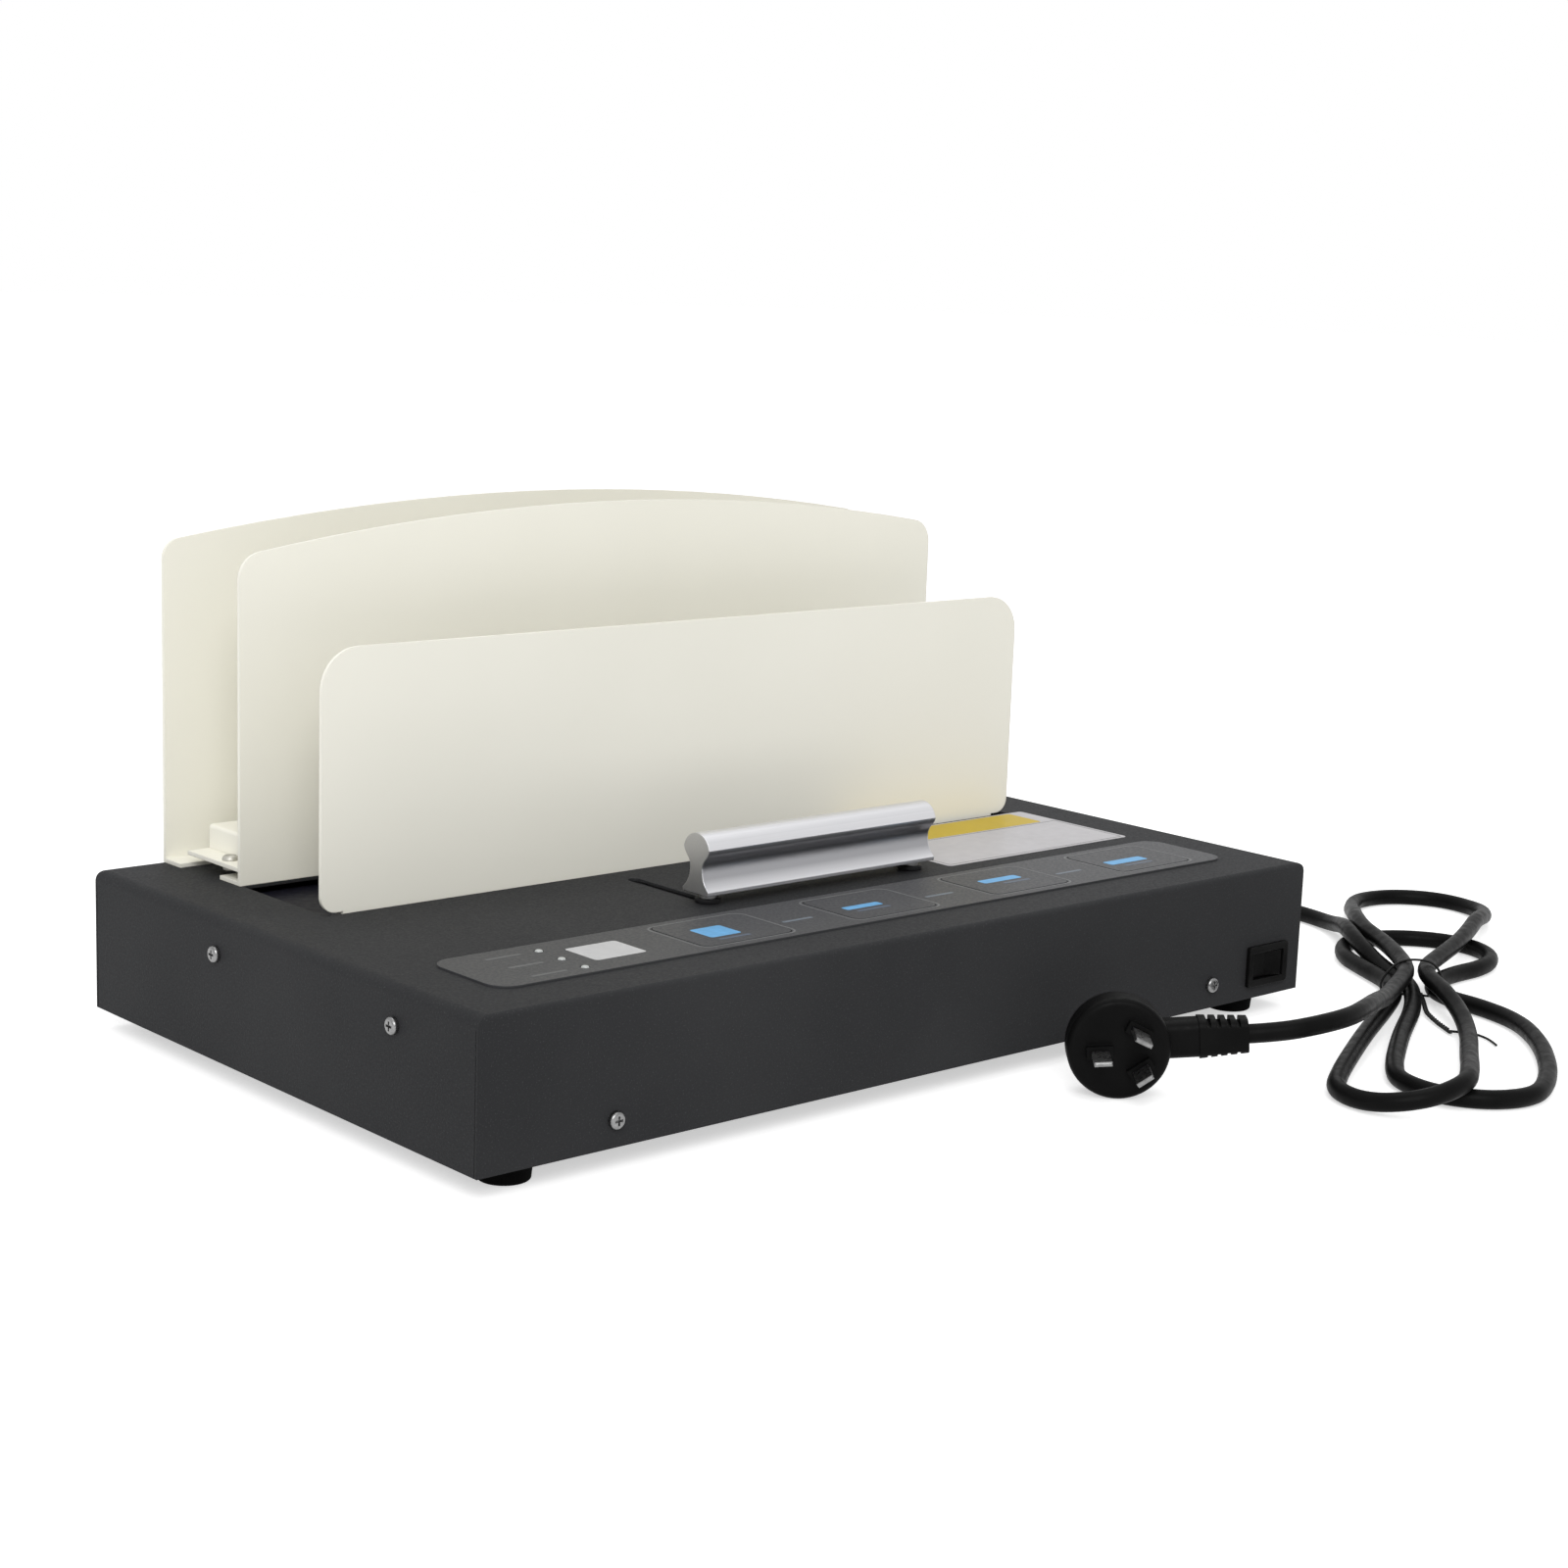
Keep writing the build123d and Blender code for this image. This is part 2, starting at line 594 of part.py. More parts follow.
def front_panel():
    face = panel_face(PANEL_W, FRONT_PANEL_H - PANEL_GAP, 0, FRONT_TOP_R)
    low = [v for v in face.vertices() if abs(v.Y) < 0.01]
    face = fillet(low, FRONT_BOTTOM_R)
    panel = upright(face, FRONT_PANEL_Y, TOP_Z + PANEL_GAP, PANEL_SHEET)
    half = NECK_W / 2
    back = FRONT_PANEL_Y + PANEL_SHEET
    lift = TOP_Z + PANEL_GAP + FRONT_BOTTOM_R
    panel += block(-half, half, FRONT_PANEL_Y, back, SLIDER_UNDER, lift)
    panel += block(-half, half, SLIDER_FRONT, back, SLIDER_UNDER, SLIDER_TOP)
    for x in POST_X:
        panel -= post(x, HANDLE_Y, SLIDER_UNDER - 1, SLIDER_TOP + 1, M3_SHANK_R)
    for x, y in block_screw_places():
        panel -= post(x, y, SLIDER_UNDER - 1, SLIDER_TOP + 1, M3_SHANK_R)
    return panel


def fixed_panel(face, half, y0, flange_y0, flange_y1):
    """Arched panel with a foot flange riveted on the cover."""
    panel = upright(face, y0, TOP_Z, PANEL_SHEET)
    panel += block(-half, half, flange_y0, flange_y1, TOP_Z, TOP_Z + PANEL_SHEET)
    for x, y in rivet_places():
        panel -= post(x, y, TOP_Z - 1, TOP_Z + PANEL_SHEET + 1, RIVET_R / 2)
    return panel


def middle_panel():
    face = panel_face(PANEL_W, PANEL_EDGE_H, PANEL_MID_H, PANEL_CORNER_R)
    return fixed_panel(face, PANEL_W / 2, MIDDLE_PANEL_Y, MIDDLE_PANEL_Y,
                       SHELF_FRONT + MIDDLE_FLANGE_D)


def rear_panel():
    face = panel_face(REAR_PANEL_W, REAR_PANEL_EDGE_H, PANEL_MID_H, REAR_PANEL_CORNER_R)
    return fixed_panel(face, REAR_PANEL_W / 2, REAR_PANEL_Y, REAR_PANEL_Y - REAR_FLANGE_D,
                       REAR_PANEL_Y + PANEL_SHEET)


def panel_rivets():
    rivets = []
    for x, y in rivet_places():
        head = post(x, y, TOP_Z + PANEL_SHEET, TOP_Z + PANEL_SHEET + RIVET_R / 2, RIVET_R)
        head = fillet(head.edges().group_by(Axis.Z)[-1], RIVET_R * 0.45)
        tail = post(x, y, UNDER_TOP - RIVET_R / 2, UNDER_TOP, RIVET_R * 0.8)
        rivets.append(head + post(x, y, UNDER_TOP, TOP_Z + PANEL_SHEET, RIVET_R / 2) + tail)
    return group(rivets)


def spacer_places():
    """Middle of each black block under the shelf ends."""
    x = PANEL_W / 2 - SPACER_INSET - SPACER_L / 2
    y = SHELF_FRONT + MIDDLE_FLANGE_D + 1 + SPACER_D / 2
    return [(-x, min(y, SHELF_BACK - SPACER_D / 2)), (x, min(y, SHELF_BACK - SPACER_D / 2))]


def shelf_spacers():
    blocks = []
    for x, y in spacer_places():
        body = block(x - SPACER_L / 2, x + SPACER_L / 2, y - SPACER_D / 2, y + SPACER_D / 2,
                     TOP_Z, SHELF_UNDER)
        blocks.append(body - post(x, y, TOP_Z - 1, SHELF_UNDER + 1, M3_SHANK_R))
    return group(blocks)


def spacer_screws():
    tool = screw(M3_HEAD_R, M3_HEAD_H, M3_SHANK_R, M3_LENGTH)
    return group(Pos(x, y, UNDER_TOP) * tool for x, y in spacer_places())


def rack_screw_places():
    x = PANEL_W / 2 - RACK_SCREW_INSET
    y = SHELF_FRONT + RACK_SCREW_Y
    return [(-x, y), (x, y)]


def rack_shelf():
    half = PANEL_W / 2
    shelf = block(-half, half, SHELF_FRONT, SHELF_BACK, SHELF_UNDER, SHELF_TOP)
    for x, y in rack_screw_places():
        shelf -= post(x, y, SHELF_UNDER - 1, SHELF_TOP + 1, M3_SHANK_R)
    return shelf


def rack_tray():
    half = PANEL_W / 2 - TRAY_MARGIN
    front = SHELF_FRONT + TRAY_FRONT_GAP
    tray = block(-half, half, front, SHELF_BACK, SHELF_TOP, SHELF_TOP + TRAY_H)
    tray = fillet(tray.edges().filter_by(Axis.Y).group_by(Axis.Z)[-1], TRAY_SHEET)
    return tray - block(-half + TRAY_SHEET, half - TRAY_SHEET, front + TRAY_SHEET,
                        SHELF_BACK - TRAY_SHEET, SHELF_TOP - 1, SHELF_TOP + TRAY_H - TRAY_SHEET)


def rack_screws():
    """Dome screws on the shelf ends, each with its nut below."""
    screws = []
    for x, y in rack_screw_places():
        dome = post(x, y, SHELF_TOP, SHELF_TOP + RACK_SCREW_DOME, RACK_SCREW_R)
        dome = fillet(dome.edges().group_by(Axis.Z)[-1], RACK_SCREW_DOME * 0.85)
        nut = post(x, y, SHELF_UNDER - RACK_SCREW_DOME, SHELF_UNDER, RACK_SCREW_R * 0.9)
        screws.append(dome + post(x, y, SHELF_UNDER, SHELF_TOP, M3_SHANK_R) + nut)
    return group(screws)


# ================================================================ clamp grip and slide
def handle_profile():
    """Hourglass section, its base on local y = 0."""
    half = HANDLE_HALF
    waist_h = HANDLE_H * 0.42
    dome_base = HANDLE_H - HANDLE_DOME_H

    def side(sign):
        low = (sign * half, HANDLE_FOOT_LAND)
        waist = (sign * HANDLE_WAIST, waist_h)
        high = (sign * half, dome_base)
        lower = Spline(low, waist, tangents=[(-sign * 0.75, 0.66), (0, 1)])
        upper = Spline(waist, high, tangents=[(0, 1), (sign * 0.15, 1)])
        return lower + upper + Line((sign * half, 0), low)

    top = ThreePointArc((half, dome_base), (0, HANDLE_H), (-half, dome_base))
    return make_face(side(1) + side(-1) + top + Line((-half, 0), (half, 0)))


def clamp_handle():
    bar = extrude(Plane.YZ * handle_profile(), amount=HANDLE_L / 2, both=True)
    handle = Pos(HANDLE_X, HANDLE_Y, HANDLE_Z) * bar
    for x in POST_X:
        handle -= post(x, HANDLE_Y, HANDLE_Z - 1, HANDLE_Z + HANDLE_SCREW_GRIP, M3_SHANK_R)
    return handle


def handle_posts():
    glide_top = TOP_Z + GLIDE_GAP + GLIDE_H
    posts = []
    for x in POST_X:
        body = post(x, HANDLE_Y, glide_top, HANDLE_Z, POST_R)
        body += post(x, HANDLE_Y, SLIDER_TOP, glide_top, POST_SHANK_R)
        posts.append(body - post(x, HANDLE_Y, SLIDER_TOP - 1, HANDLE_Z + 1, M3_SHANK_R))
    return group(posts)


def glide_washers():
    washers = []
    for x in POST_X:
        low = TOP_Z + GLIDE_GAP
        ring = post(x, HANDLE_Y, low, low + GLIDE_H, GLIDE_R)
        ring = fillet(ring.edges().group_by(Axis.Z)[-1], GLIDE_H * 0.3)
        washers.append(ring - post(x, HANDLE_Y, low - 1, low + GLIDE_H + 1,
                                   POST_SHANK_R + GLIDE_BORE_FIT))
    return group(washers)


def handle_screws():
    grip = HANDLE_Z + HANDLE_SCREW_GRIP - SLIDER_UNDER - 1
    tool = screw(M3_HEAD_R, M3_HEAD_H, M3_SHANK_R, grip)
    return group(Pos(x, HANDLE_Y, SLIDER_UNDER) * tool for x in POST_X)


def block_screw_places():
    offset = BLOCK_W / 2 - M3_HEAD_R - 1
    return [(sx * ROD_X + dx, BLOCK_Y) for sx in (-1, 1) for dx in (-offset, offset)]


def bearing_blocks():
    blocks = []
    for x in (-ROD_X, ROD_X):
        body = block(x - BLOCK_W / 2, x + BLOCK_W / 2, BLOCK_Y - BLOCK_L / 2,
                     BLOCK_Y + BLOCK_L / 2, BLOCK_BOTTOM, SLIDER_UNDER)
        body = fillet(body.edges().filter_by(Axis.Y).group_by(Axis.Z)[0], 2.0)
        body -= bar_y(x, ROD_Z, BLOCK_Y - BLOCK_L, BLOCK_Y + BLOCK_L, BUSH_R)
        for sx, sy in block_screw_places():
            body -= post(sx, sy, SLIDER_UNDER - BLOCK_SCREW_GRIP, SLIDER_UNDER + 1, M3_SHANK_R)
        blocks.append(body)
    return group(blocks)


def slide_bushes():
    bushes = []
    for x in (-ROD_X, ROD_X):
        tube = bar_y(x, ROD_Z, BLOCK_Y - BLOCK_L / 2, BLOCK_Y + BLOCK_L / 2, BUSH_R)
        bushes.append(tube - bar_y(x, ROD_Z, BLOCK_Y - BLOCK_L, BLOCK_Y + BLOCK_L,
                                   ROD_R + BUSH_RUNNING_FIT))
    return group(bushes)


def block_studs():
    """Countersunk flat under the cover: plain studs through the slider into the blocks."""
    return group(post(x, y, SLIDER_UNDER - BLOCK_SCREW_GRIP + 1, SLIDER_TOP, M3_SHANK_R)
                 for x, y in block_screw_places())


def guide_rods():
    return group(bar_y(x, ROD_Z, ROD_FRONT, ROD_BACK, ROD_R) for x in (-ROD_X, ROD_X))


def rod_brackets():
    brackets = []
    for x in (-ROD_X, ROD_X):
        for y0, foot_y0 in ((ROD_FRONT, ROD_FRONT - BRACKET_FOOT_L),
                            (ROD_BACK - BRACKET_T, ROD_BACK)):
            body = block(x - BRACKET_W / 2, x + BRACKET_W / 2, y0, y0 + BRACKET_T, FLOOR_Z,
                         ROD_Z + BRACKET_OVER)
            body += block(x - BRACKET_W / 2, x + BRACKET_W / 2, foot_y0,
                          foot_y0 + BRACKET_FOOT_L, FLOOR_Z, FLOOR_Z + BRACKET_FOOT_T)
            body -= bar_y(x, ROD_Z, y0 - 1, y0 + BRACKET_T + 1, ROD_R)
            brackets.append(body)
    return group(brackets)


# ================================================================ control panel
def control_overlay():
    sheet = rounded_plate(0, OVERLAY_Y, TOP_Z, OVERLAY_W, OVERLAY_D, OVERLAY_T, OVERLAY_R)
    for x in KEY_X:
        sheet -= rounded_plate(x, OVERLAY_Y, TOP_Z - 1, KEY_W + 2 * KEY_GAP, KEY_D + 2 * KEY_GAP,
                               OVERLAY_T + 2, KEY_R + KEY_GAP)
    sheet -= rounded_plate(WINDOW_X, OVERLAY_Y, TOP_Z - 1, WINDOW_W, WINDOW_D, OVERLAY_T + 2,
                           WINDOW_R)
    for y in LED_Y:
        sheet -= post(LED_X, y, TOP_Z - 1, OVERLAY_TOP + 1, LED_R + LED_HOLE_FIT)
    return sheet


def key_pad(x):
    low = TOP_Z + KEY_HOVER
    pad = rounded_plate(x, OVERLAY_Y, low, KEY_W, KEY_D, KEY_T, KEY_R)
    return pad + post(x, OVERLAY_Y, PLUNGER_TOP, low, STEM_R)


def key_plunger(x):
    return post(x, OVERLAY_Y, PLUNGER_TOP - PLUNGER_LENGTH, PLUNGER_TOP, PLUNGER_R)


def key_switches():
    well = PLUNGER_TOP - PLUNGER_LENGTH - KEY_TRAVEL - 0.3
    half = SWITCH_W / 2
    switches = []
    for x in KEY_X:
        body = block(x - half, x + half, OVERLAY_Y - half, OVERLAY_Y + half, BOARD_TOP,
                     SWITCH_TOP)
        switches.append(body - post(x, OVERLAY_Y, well, SWITCH_TOP + 1,
                                    PLUNGER_R + PLUNGER_FIT))
    return group(switches)


def display_board():
    board = block(BOARD_X0, BOARD_X1, BOARD_Y0, BOARD_Y1, BOARD_UNDER, BOARD_TOP)
    for x, y in BOARD_POSTS:
        board -= post(x, y, BOARD_UNDER - 1, BOARD_TOP + 1, M3_SHANK_R)
    return board


def board_posts():
    return group(post(x, y, BOARD_TOP, UNDER_TOP, BOARD_POST_R)
                 + post(x, y, BOARD_UNDER, BOARD_TOP, M3_SHANK_R)
                 + post(x, y, BOARD_UNDER - 1.5, BOARD_UNDER, BOARD_POST_R)
                 for x, y in BOARD_POSTS)


def display_module():
    return block(WINDOW_X - WINDOW_W / 2 + 1, WINDOW_X + WINDOW_W / 2 - 1,
                 OVERLAY_Y - WINDOW_D / 2 + 1, OVERLAY_Y + WINDOW_D / 2 - 1, BOARD_TOP, UNDER_TOP)


def display_window():
    return rounded_plate(WINDOW_X, OVERLAY_Y, UNDER_TOP, WINDOW_W, WINDOW_D,
                         SHEET + OVERLAY_T, WINDOW_R)


def status_lamps():
    lamps = []
    for y in LED_Y:
        top = OVERLAY_TOP + LED_PROUD
        body = post(LED_X, y, BOARD_TOP, top, LED_R)
        lamps.append(fillet(body.edges().group_by(Axis.Z)[-1], LED_R * 0.7))
    return group(lamps)


# ================================================================ power switch
def rocker_bezel():
    frame = block(ROCKER_X - BEZEL_W / 2, ROCKER_X + BEZEL_W / 2, FRONT_Y - BEZEL_T, FRONT_Y,
                  ROCKER_Z - BEZEL_H / 2, ROCKER_Z + BEZEL_H / 2)
    frame = fillet(frame.edges().filter_by(Axis.Y), 1.0)
    frame += block(ROCKER_X - BEZEL_BODY_W / 2, ROCKER_X + BEZEL_BODY_W / 2, FRONT_Y,
                   FRONT_Y + BEZEL_BODY_D, ROCKER_Z - BEZEL_BODY_H / 2,
                   ROCKER_Z + BEZEL_BODY_H / 2)
    half_w = BEZEL_BODY_W / 2 - BEZEL_WALL
    half_h = BEZEL_BODY_H / 2 - BEZEL_WALL
    frame -= block(ROCKER_X - half_w, ROCKER_X + half_w, FRONT_Y - BEZEL_T - 1,
                   FRONT_Y + BEZEL_BODY_D - BEZEL_WALL, ROCKER_Z - half_h, ROCKER_Z + half_h)
    pivot_y = FRONT_Y + ROCKER_PIVOT_DEPTH
    return frame - post(ROCKER_X, pivot_y, ROCKER_Z - half_h - BEZEL_WALL / 2,
                        ROCKER_Z + half_h + BEZEL_WALL / 2, ROCKER_PIN_R + ROCKER_PIN_FIT)


def power_rocker():
    """Key of the switch, rocked so that its left half is pressed in."""
    half_w = BEZEL_BODY_W / 2 - BEZEL_WALL - ROCKER_END_GAP
    half_h = BEZEL_BODY_H / 2 - BEZEL_WALL - ROCKER_GAP
    front = -ROCKER_PIVOT_DEPTH - ROCKER_PROUD
    shoulder = ROCKER_DEPTH * 0.4
    face = Polyline((-half_w, front), (0, front + ROCKER_DISH), (half_w, front),
                    (half_w, shoulder), (half_w * 0.4, ROCKER_DEPTH),
                    (-half_w * 0.4, ROCKER_DEPTH), (-half_w, shoulder), close=True)
    body = extrude(make_face(face), amount=half_h, both=True)
    pin_half = half_h + ROCKER_GAP + BEZEL_WALL * 0.4
    body += Cylinder(ROCKER_PIN_R, 2 * pin_half)
    place = Pos(ROCKER_X, FRONT_Y + ROCKER_PIVOT_DEPTH, ROCKER_Z)
    return place * Rot(0, 0, -ROCKER_THROW / 2) * body


def rocker_terminals():
    tabs = []
    back = FRONT_Y + BEZEL_BODY_D
    for dx in (-5.5, 5.5):
        tabs.append(block(ROCKER_X + dx - TERMINAL_T / 2, ROCKER_X + dx + TERMINAL_T / 2, back,
                          back + TERMINAL_L, ROCKER_Z - TERMINAL_W / 2,
                          ROCKER_Z + TERMINAL_W / 2))
    return group(tabs)


# ================================================================ heater
def pillar_places():
    x = PLATE_HALF - PILLAR_X_INSET
    rows = (PLATE_FRONT + PILLAR_Y_INSET, PLATE_BACK - PILLAR_Y_INSET)
    return [(px, py) for px in (-x, 0, x) for py in rows]


def heating_plate():
    plate = block(-PLATE_HALF, PLATE_HALF, PLATE_FRONT, PLATE_BACK, PLATE_UNDER, PLATE_TOP)
    return fillet(plate.edges().filter_by(Axis.X).group_by(Axis.Z)[-1], 0.8)


def heater_element():
    return block(-HEATER_HALF, HEATER_HALF, PLATE_Y - HEATER_D / 2, PLATE_Y + HEATER_D / 2,
                 HEATER_UNDER, PLATE_UNDER)


def heater_clamp():
    return block(-HEATER_HALF, HEATER_HALF, PLATE_Y - HEATER_D / 2, PLATE_Y + HEATER_D / 2,
                 CLAMP_UNDER, HEATER_UNDER)


def insulation_pad():
    return block(-HEATER_HALF, HEATER_HALF, PLATE_Y - HEATER_D / 2, PLATE_Y + HEATER_D / 2,
                 CLAMP_UNDER - INSULATION_T, CLAMP_UNDER)


def heater_pillars():
    return group(post(x, y, FLOOR_Z, PLATE_UNDER, PILLAR_R) for x, y in pillar_places())


def thermostat():
    x = HEATER_HALF + THERMOSTAT_GAP + THERMOSTAT_R
    body = post(x, PLATE_Y, PLATE_UNDER - THERMOSTAT_H, PLATE_UNDER, THERMOSTAT_R)
    return fillet(body.edges().group_by(Axis.Z)[0], 1.0)


def thermal_fuse():
    x = -HEATER_HALF - THERMOSTAT_GAP - THERMOSTAT_R
    body = bar_y(x, PLATE_UNDER - FUSE_R, PLATE_Y - FUSE_L / 2, PLATE_Y + FUSE_L / 2, FUSE_R)
    half = FUSE_R + FUSE_CLIP_T
    clip = block(x - half, x + half, PLATE_Y - 2, PLATE_Y + 2, PLATE_UNDER - 2 * half, PLATE_UNDER)
    return body + clip


# ================================================================ main electronics
def main_standoff_places():
    return [(x, y) for x in (MAIN_BOARD_X0 + STANDOFF_INSET, MAIN_BOARD_X1 - STANDOFF_INSET)
            for y in (MAIN_BOARD_Y0 + STANDOFF_INSET, MAIN_BOARD_Y1 - STANDOFF_INSET)]


def main_board():
    return block(MAIN_BOARD_X0, MAIN_BOARD_X1, MAIN_BOARD_Y0, MAIN_BOARD_Y1, MAIN_BOARD_UNDER,
                 MAIN_BOARD_TOP)


def main_standoffs():
    return group(post(x, y, FLOOR_Z, MAIN_BOARD_UNDER, STANDOFF_R)
                 for x, y in main_standoff_places())


def board_box(at, size):
    """Component with a square body standing on the main board."""
    w, d, h = size
    return block(at[0] - w / 2, at[0] + w / 2, at[1] - d / 2, at[1] + d / 2, MAIN_BOARD_TOP,
                 MAIN_BOARD_TOP + h)


def relay():
    return fillet(board_box(RELAY_AT, RELAY_SIZE).edges().filter_by(Axis.Z), 0.8)


def capacitor():
    can = post(*CAPACITOR_AT, MAIN_BOARD_TOP, MAIN_BOARD_TOP + CAPACITOR_H, CAPACITOR_R)
    return fillet(can.edges().group_by(Axis.Z)[-1], 1.0)


def buzzer():
    can = post(*BUZZER_AT, MAIN_BOARD_TOP, MAIN_BOARD_TOP + BUZZER_H, BUZZER_R)
    top = MAIN_BOARD_TOP + BUZZER_H
    return can - post(*BUZZER_AT, top - 2, top + 1, 1.2)


def terminal_block():
    body = board_box(TERMINAL_AT, TERMINAL_SIZE)
    top = MAIN_BOARD_TOP + TERMINAL_SIZE[2]
    ways = 5
    pitch = TERMINAL_SIZE[0] / ways
    for k in range(ways):
        x = TERMINAL_AT[0] + (k - (ways - 1) / 2) * pitch
        body -= post(x, TERMINAL_AT[1], top - 3, top + 1, 2.2)
    return body


def transformer_core():
    x, y = TRANSFORMER_AT
    w, d, h = CORE_SIZE
    core = block(x - w / 2, x + w / 2, y - d / 2, y + d / 2, FLOOR_Z, FLOOR_Z + h)
    cw, _, ch = COIL_SIZE
    mid = FLOOR_Z + h / 2
    return core - block(x - cw / 2, x + cw / 2, y - d, y + d, mid - ch / 2, mid + ch / 2)


def transformer_coil():
    x, y = TRANSFORMER_AT
    w, d, h = COIL_SIZE
    mid = FLOOR_Z + CORE_SIZE[2] / 2
    coil = block(x - w / 2, x + w / 2, y - d / 2, y + d / 2, mid - h / 2, mid + h / 2)
    return fillet(coil.edges().filter_by(Axis.Z), 2.5)


# ================================================================ sticker
def blank_sticker():
    w = STICKER_X1 - STICKER_X0
    d = STICKER_Y1 - STICKER_Y0
    return rounded_plate((STICKER_X0 + STICKER_X1) / 2, (STICKER_Y0 + STICKER_Y1) / 2, TOP_Z, w, d,
                         STICKER_T, 2.0)


# ================================================================ mains cord
def cord_gland():
    """Moulded strain relief, turned about the cord's axis at the exit."""
    tip = RIGHT_X + GLAND_L
    inner = RIGHT_X - SHEET - GLAND_GROOVE_T
    body = bar_x(GLAND_Y, GLAND_Z, RIGHT_X, RIGHT_X + GLAND_FLANGE_T, GLAND_FLANGE_R)
    body += bar_x(GLAND_Y, GLAND_Z, inner - GLAND_INNER_L, RIGHT_X, GLAND_NECK_R)
    body += bar_x(GLAND_Y, GLAND_Z, inner - GLAND_INNER_L, RIGHT_X - SHEET, GLAND_FLANGE_R)
    start = RIGHT_X + GLAND_FLANGE_T
    taper = Cone(GLAND_NECK_R, GLAND_TIP_R, tip - start)
    body += Pos((start + tip) / 2, GLAND_Y, GLAND_Z) * Rot(0, 90, 0) * taper
    ribs = 4
    pitch = (tip - start) / (ribs + 1)
    for k in range(1, ribs + 1):
        x = start + k * pitch
        groove = bar_x(GLAND_Y, GLAND_Z, x - 0.8, x + 0.8, GLAND_NECK_R + 1)
        core = bar_x(GLAND_Y, GLAND_Z, x - 0.8, x + 0.8, GLAND_TIP_R - 0.4)
        body -= groove - core
    return body


def hank_slab(points):
    """Flat closed solid from a smooth closed outline on the floor."""
    outline = Spline(*[(x, y, 0) for x, y in points], periodic=True)
    return extrude(make_face(outline), amount=HANK_H)


def waist_plane():
    yaw = radians(HANK_WAIST_YAW)
    z = FLOOR_GAP + 2 * TIE_R + HANK_WAIST_HALF_H
    return Plane(origin=(*HANK_WAIST_AT, z), x_dir=(-sin(yaw), cos(yaw), 0),
                 z_dir=(cos(yaw), sin(yaw), 0))


def cord_stub(end, inner):
    """Short length of cord that brings a square face to the free tube."""
    a = Vector(*end)
    b = Vector(*inner)
    direction = (b - a).normalized()
    return extrude(Plane(origin=a, z_dir=direction) * Circle(CORD_R), amount=(b - a).length)


def hank_lobe(points, daylight, side):
    """One end of the hank, cut off short of the tie."""
    start = side * (TIE_W / 2 + TIE_GAP + HOUSING_W / 2)
    beyond = waist_plane().location * Pos(0, 0, start) * Box(HOUSING_W, HOUSING_W, HOUSING_W)
    lobe = hank_slab(points) & beyond
    for hole in daylight:
        lobe -= hank_slab(hole)
    return lobe


def cord_hank():
    """Two flat lobes joined by the tied waist, with a cord stub for each free tube."""
    section = Ellipse(HANK_WAIST_HALF_W, HANK_WAIST_HALF_H)
    hank = extrude(waist_plane() * section, amount=HANK_WAIST_L / 2, both=True)
    hank += hank_lobe(HANK_FAR, FAR_DAYLIGHT, 1)
    hank += hank_lobe(HANK_NEAR, NEAR_DAYLIGHT, -1)
    hank += cord_stub(LEAD_ROUTE[-1], stub_inner(LEAD_ROUTE[-2], LEAD_ROUTE[-1], LEAD_STUB))
    return hank + cord_stub(TAIL_ROUTE[0], stub_inner(TAIL_ROUTE[1], TAIL_ROUTE[0], TAIL_STUB))


def stub_inner(before, end, reach):
    """Point that carries the last run of a route on by reach."""
    direction = (Vector(*end) - Vector(*before)).normalized()
    return tuple(Vector(*end) + direction * reach)


def cord_tie():
    outer = Ellipse(HANK_WAIST_HALF_W + 2 * TIE_R, HANK_WAIST_HALF_H + 2 * TIE_R)
    inner = Ellipse(HANK_WAIST_HALF_W, HANK_WAIST_HALF_H)
    ring = extrude(waist_plane() * outer, amount=TIE_W / 2, both=True)
    return ring - extrude(waist_plane() * inner, amount=TIE_W, both=True)


def plug_frame():
    """Local frame in the disc's middle: X along the neck, Y up, Z out of the pin face."""
    end = Vector(*TAIL_ROUTE[-1])
    along = (Vector(*TAIL_ROUTE[-2]) - end).normalized()
    face = Vector(along.Y, -along.X, 0).normalized()
    middle = end - along * PLUG_RELIEF_X + face * PLUG_NECK_BACK
    return Plane(origin=middle, x_dir=along, z_dir=face).location


def plug_relief():
    """Tapered grip behind the neck, grooved from above and below."""
    face = Plane.YZ * RectangleRounded(PLUG_RELIEF_H, PLUG_RELIEF_T, PLUG_RELIEF_EDGE)
    small = PLUG_RELIEF_END
    tip = Plane.YZ * RectangleRounded(PLUG_RELIEF_H * small, PLUG_RELIEF_T * small,
                                      PLUG_RELIEF_EDGE * small)
    length = PLUG_RELIEF_X - PLUG_NECK_X
    relief = loft([Pos(PLUG_NECK_X, 0, 0) * face, Pos(PLUG_RELIEF_X, 0, 0) * tip])
    pitch = length / (PLUG_RIBS + 1)
    for k in range(1, PLUG_RIBS + 1):
        x = PLUG_NECK_X + k * pitch
        half_h = PLUG_RELIEF_H / 2 * (1 - (1 - small) * k / (PLUG_RIBS + 1))
        for side, depth in ((1, PLUG_RIB_TOP_DEPTH), (-1, PLUG_RIB_UNDER_DEPTH)):
            middle_y = side * (half_h - depth + PLUG_RELIEF_H / 2)
            relief -= Pos(x, middle_y, 0) * Box(PLUG_RIB_GAP, PLUG_RELIEF_H, 2 * PLUG_RELIEF_T)
    return relief


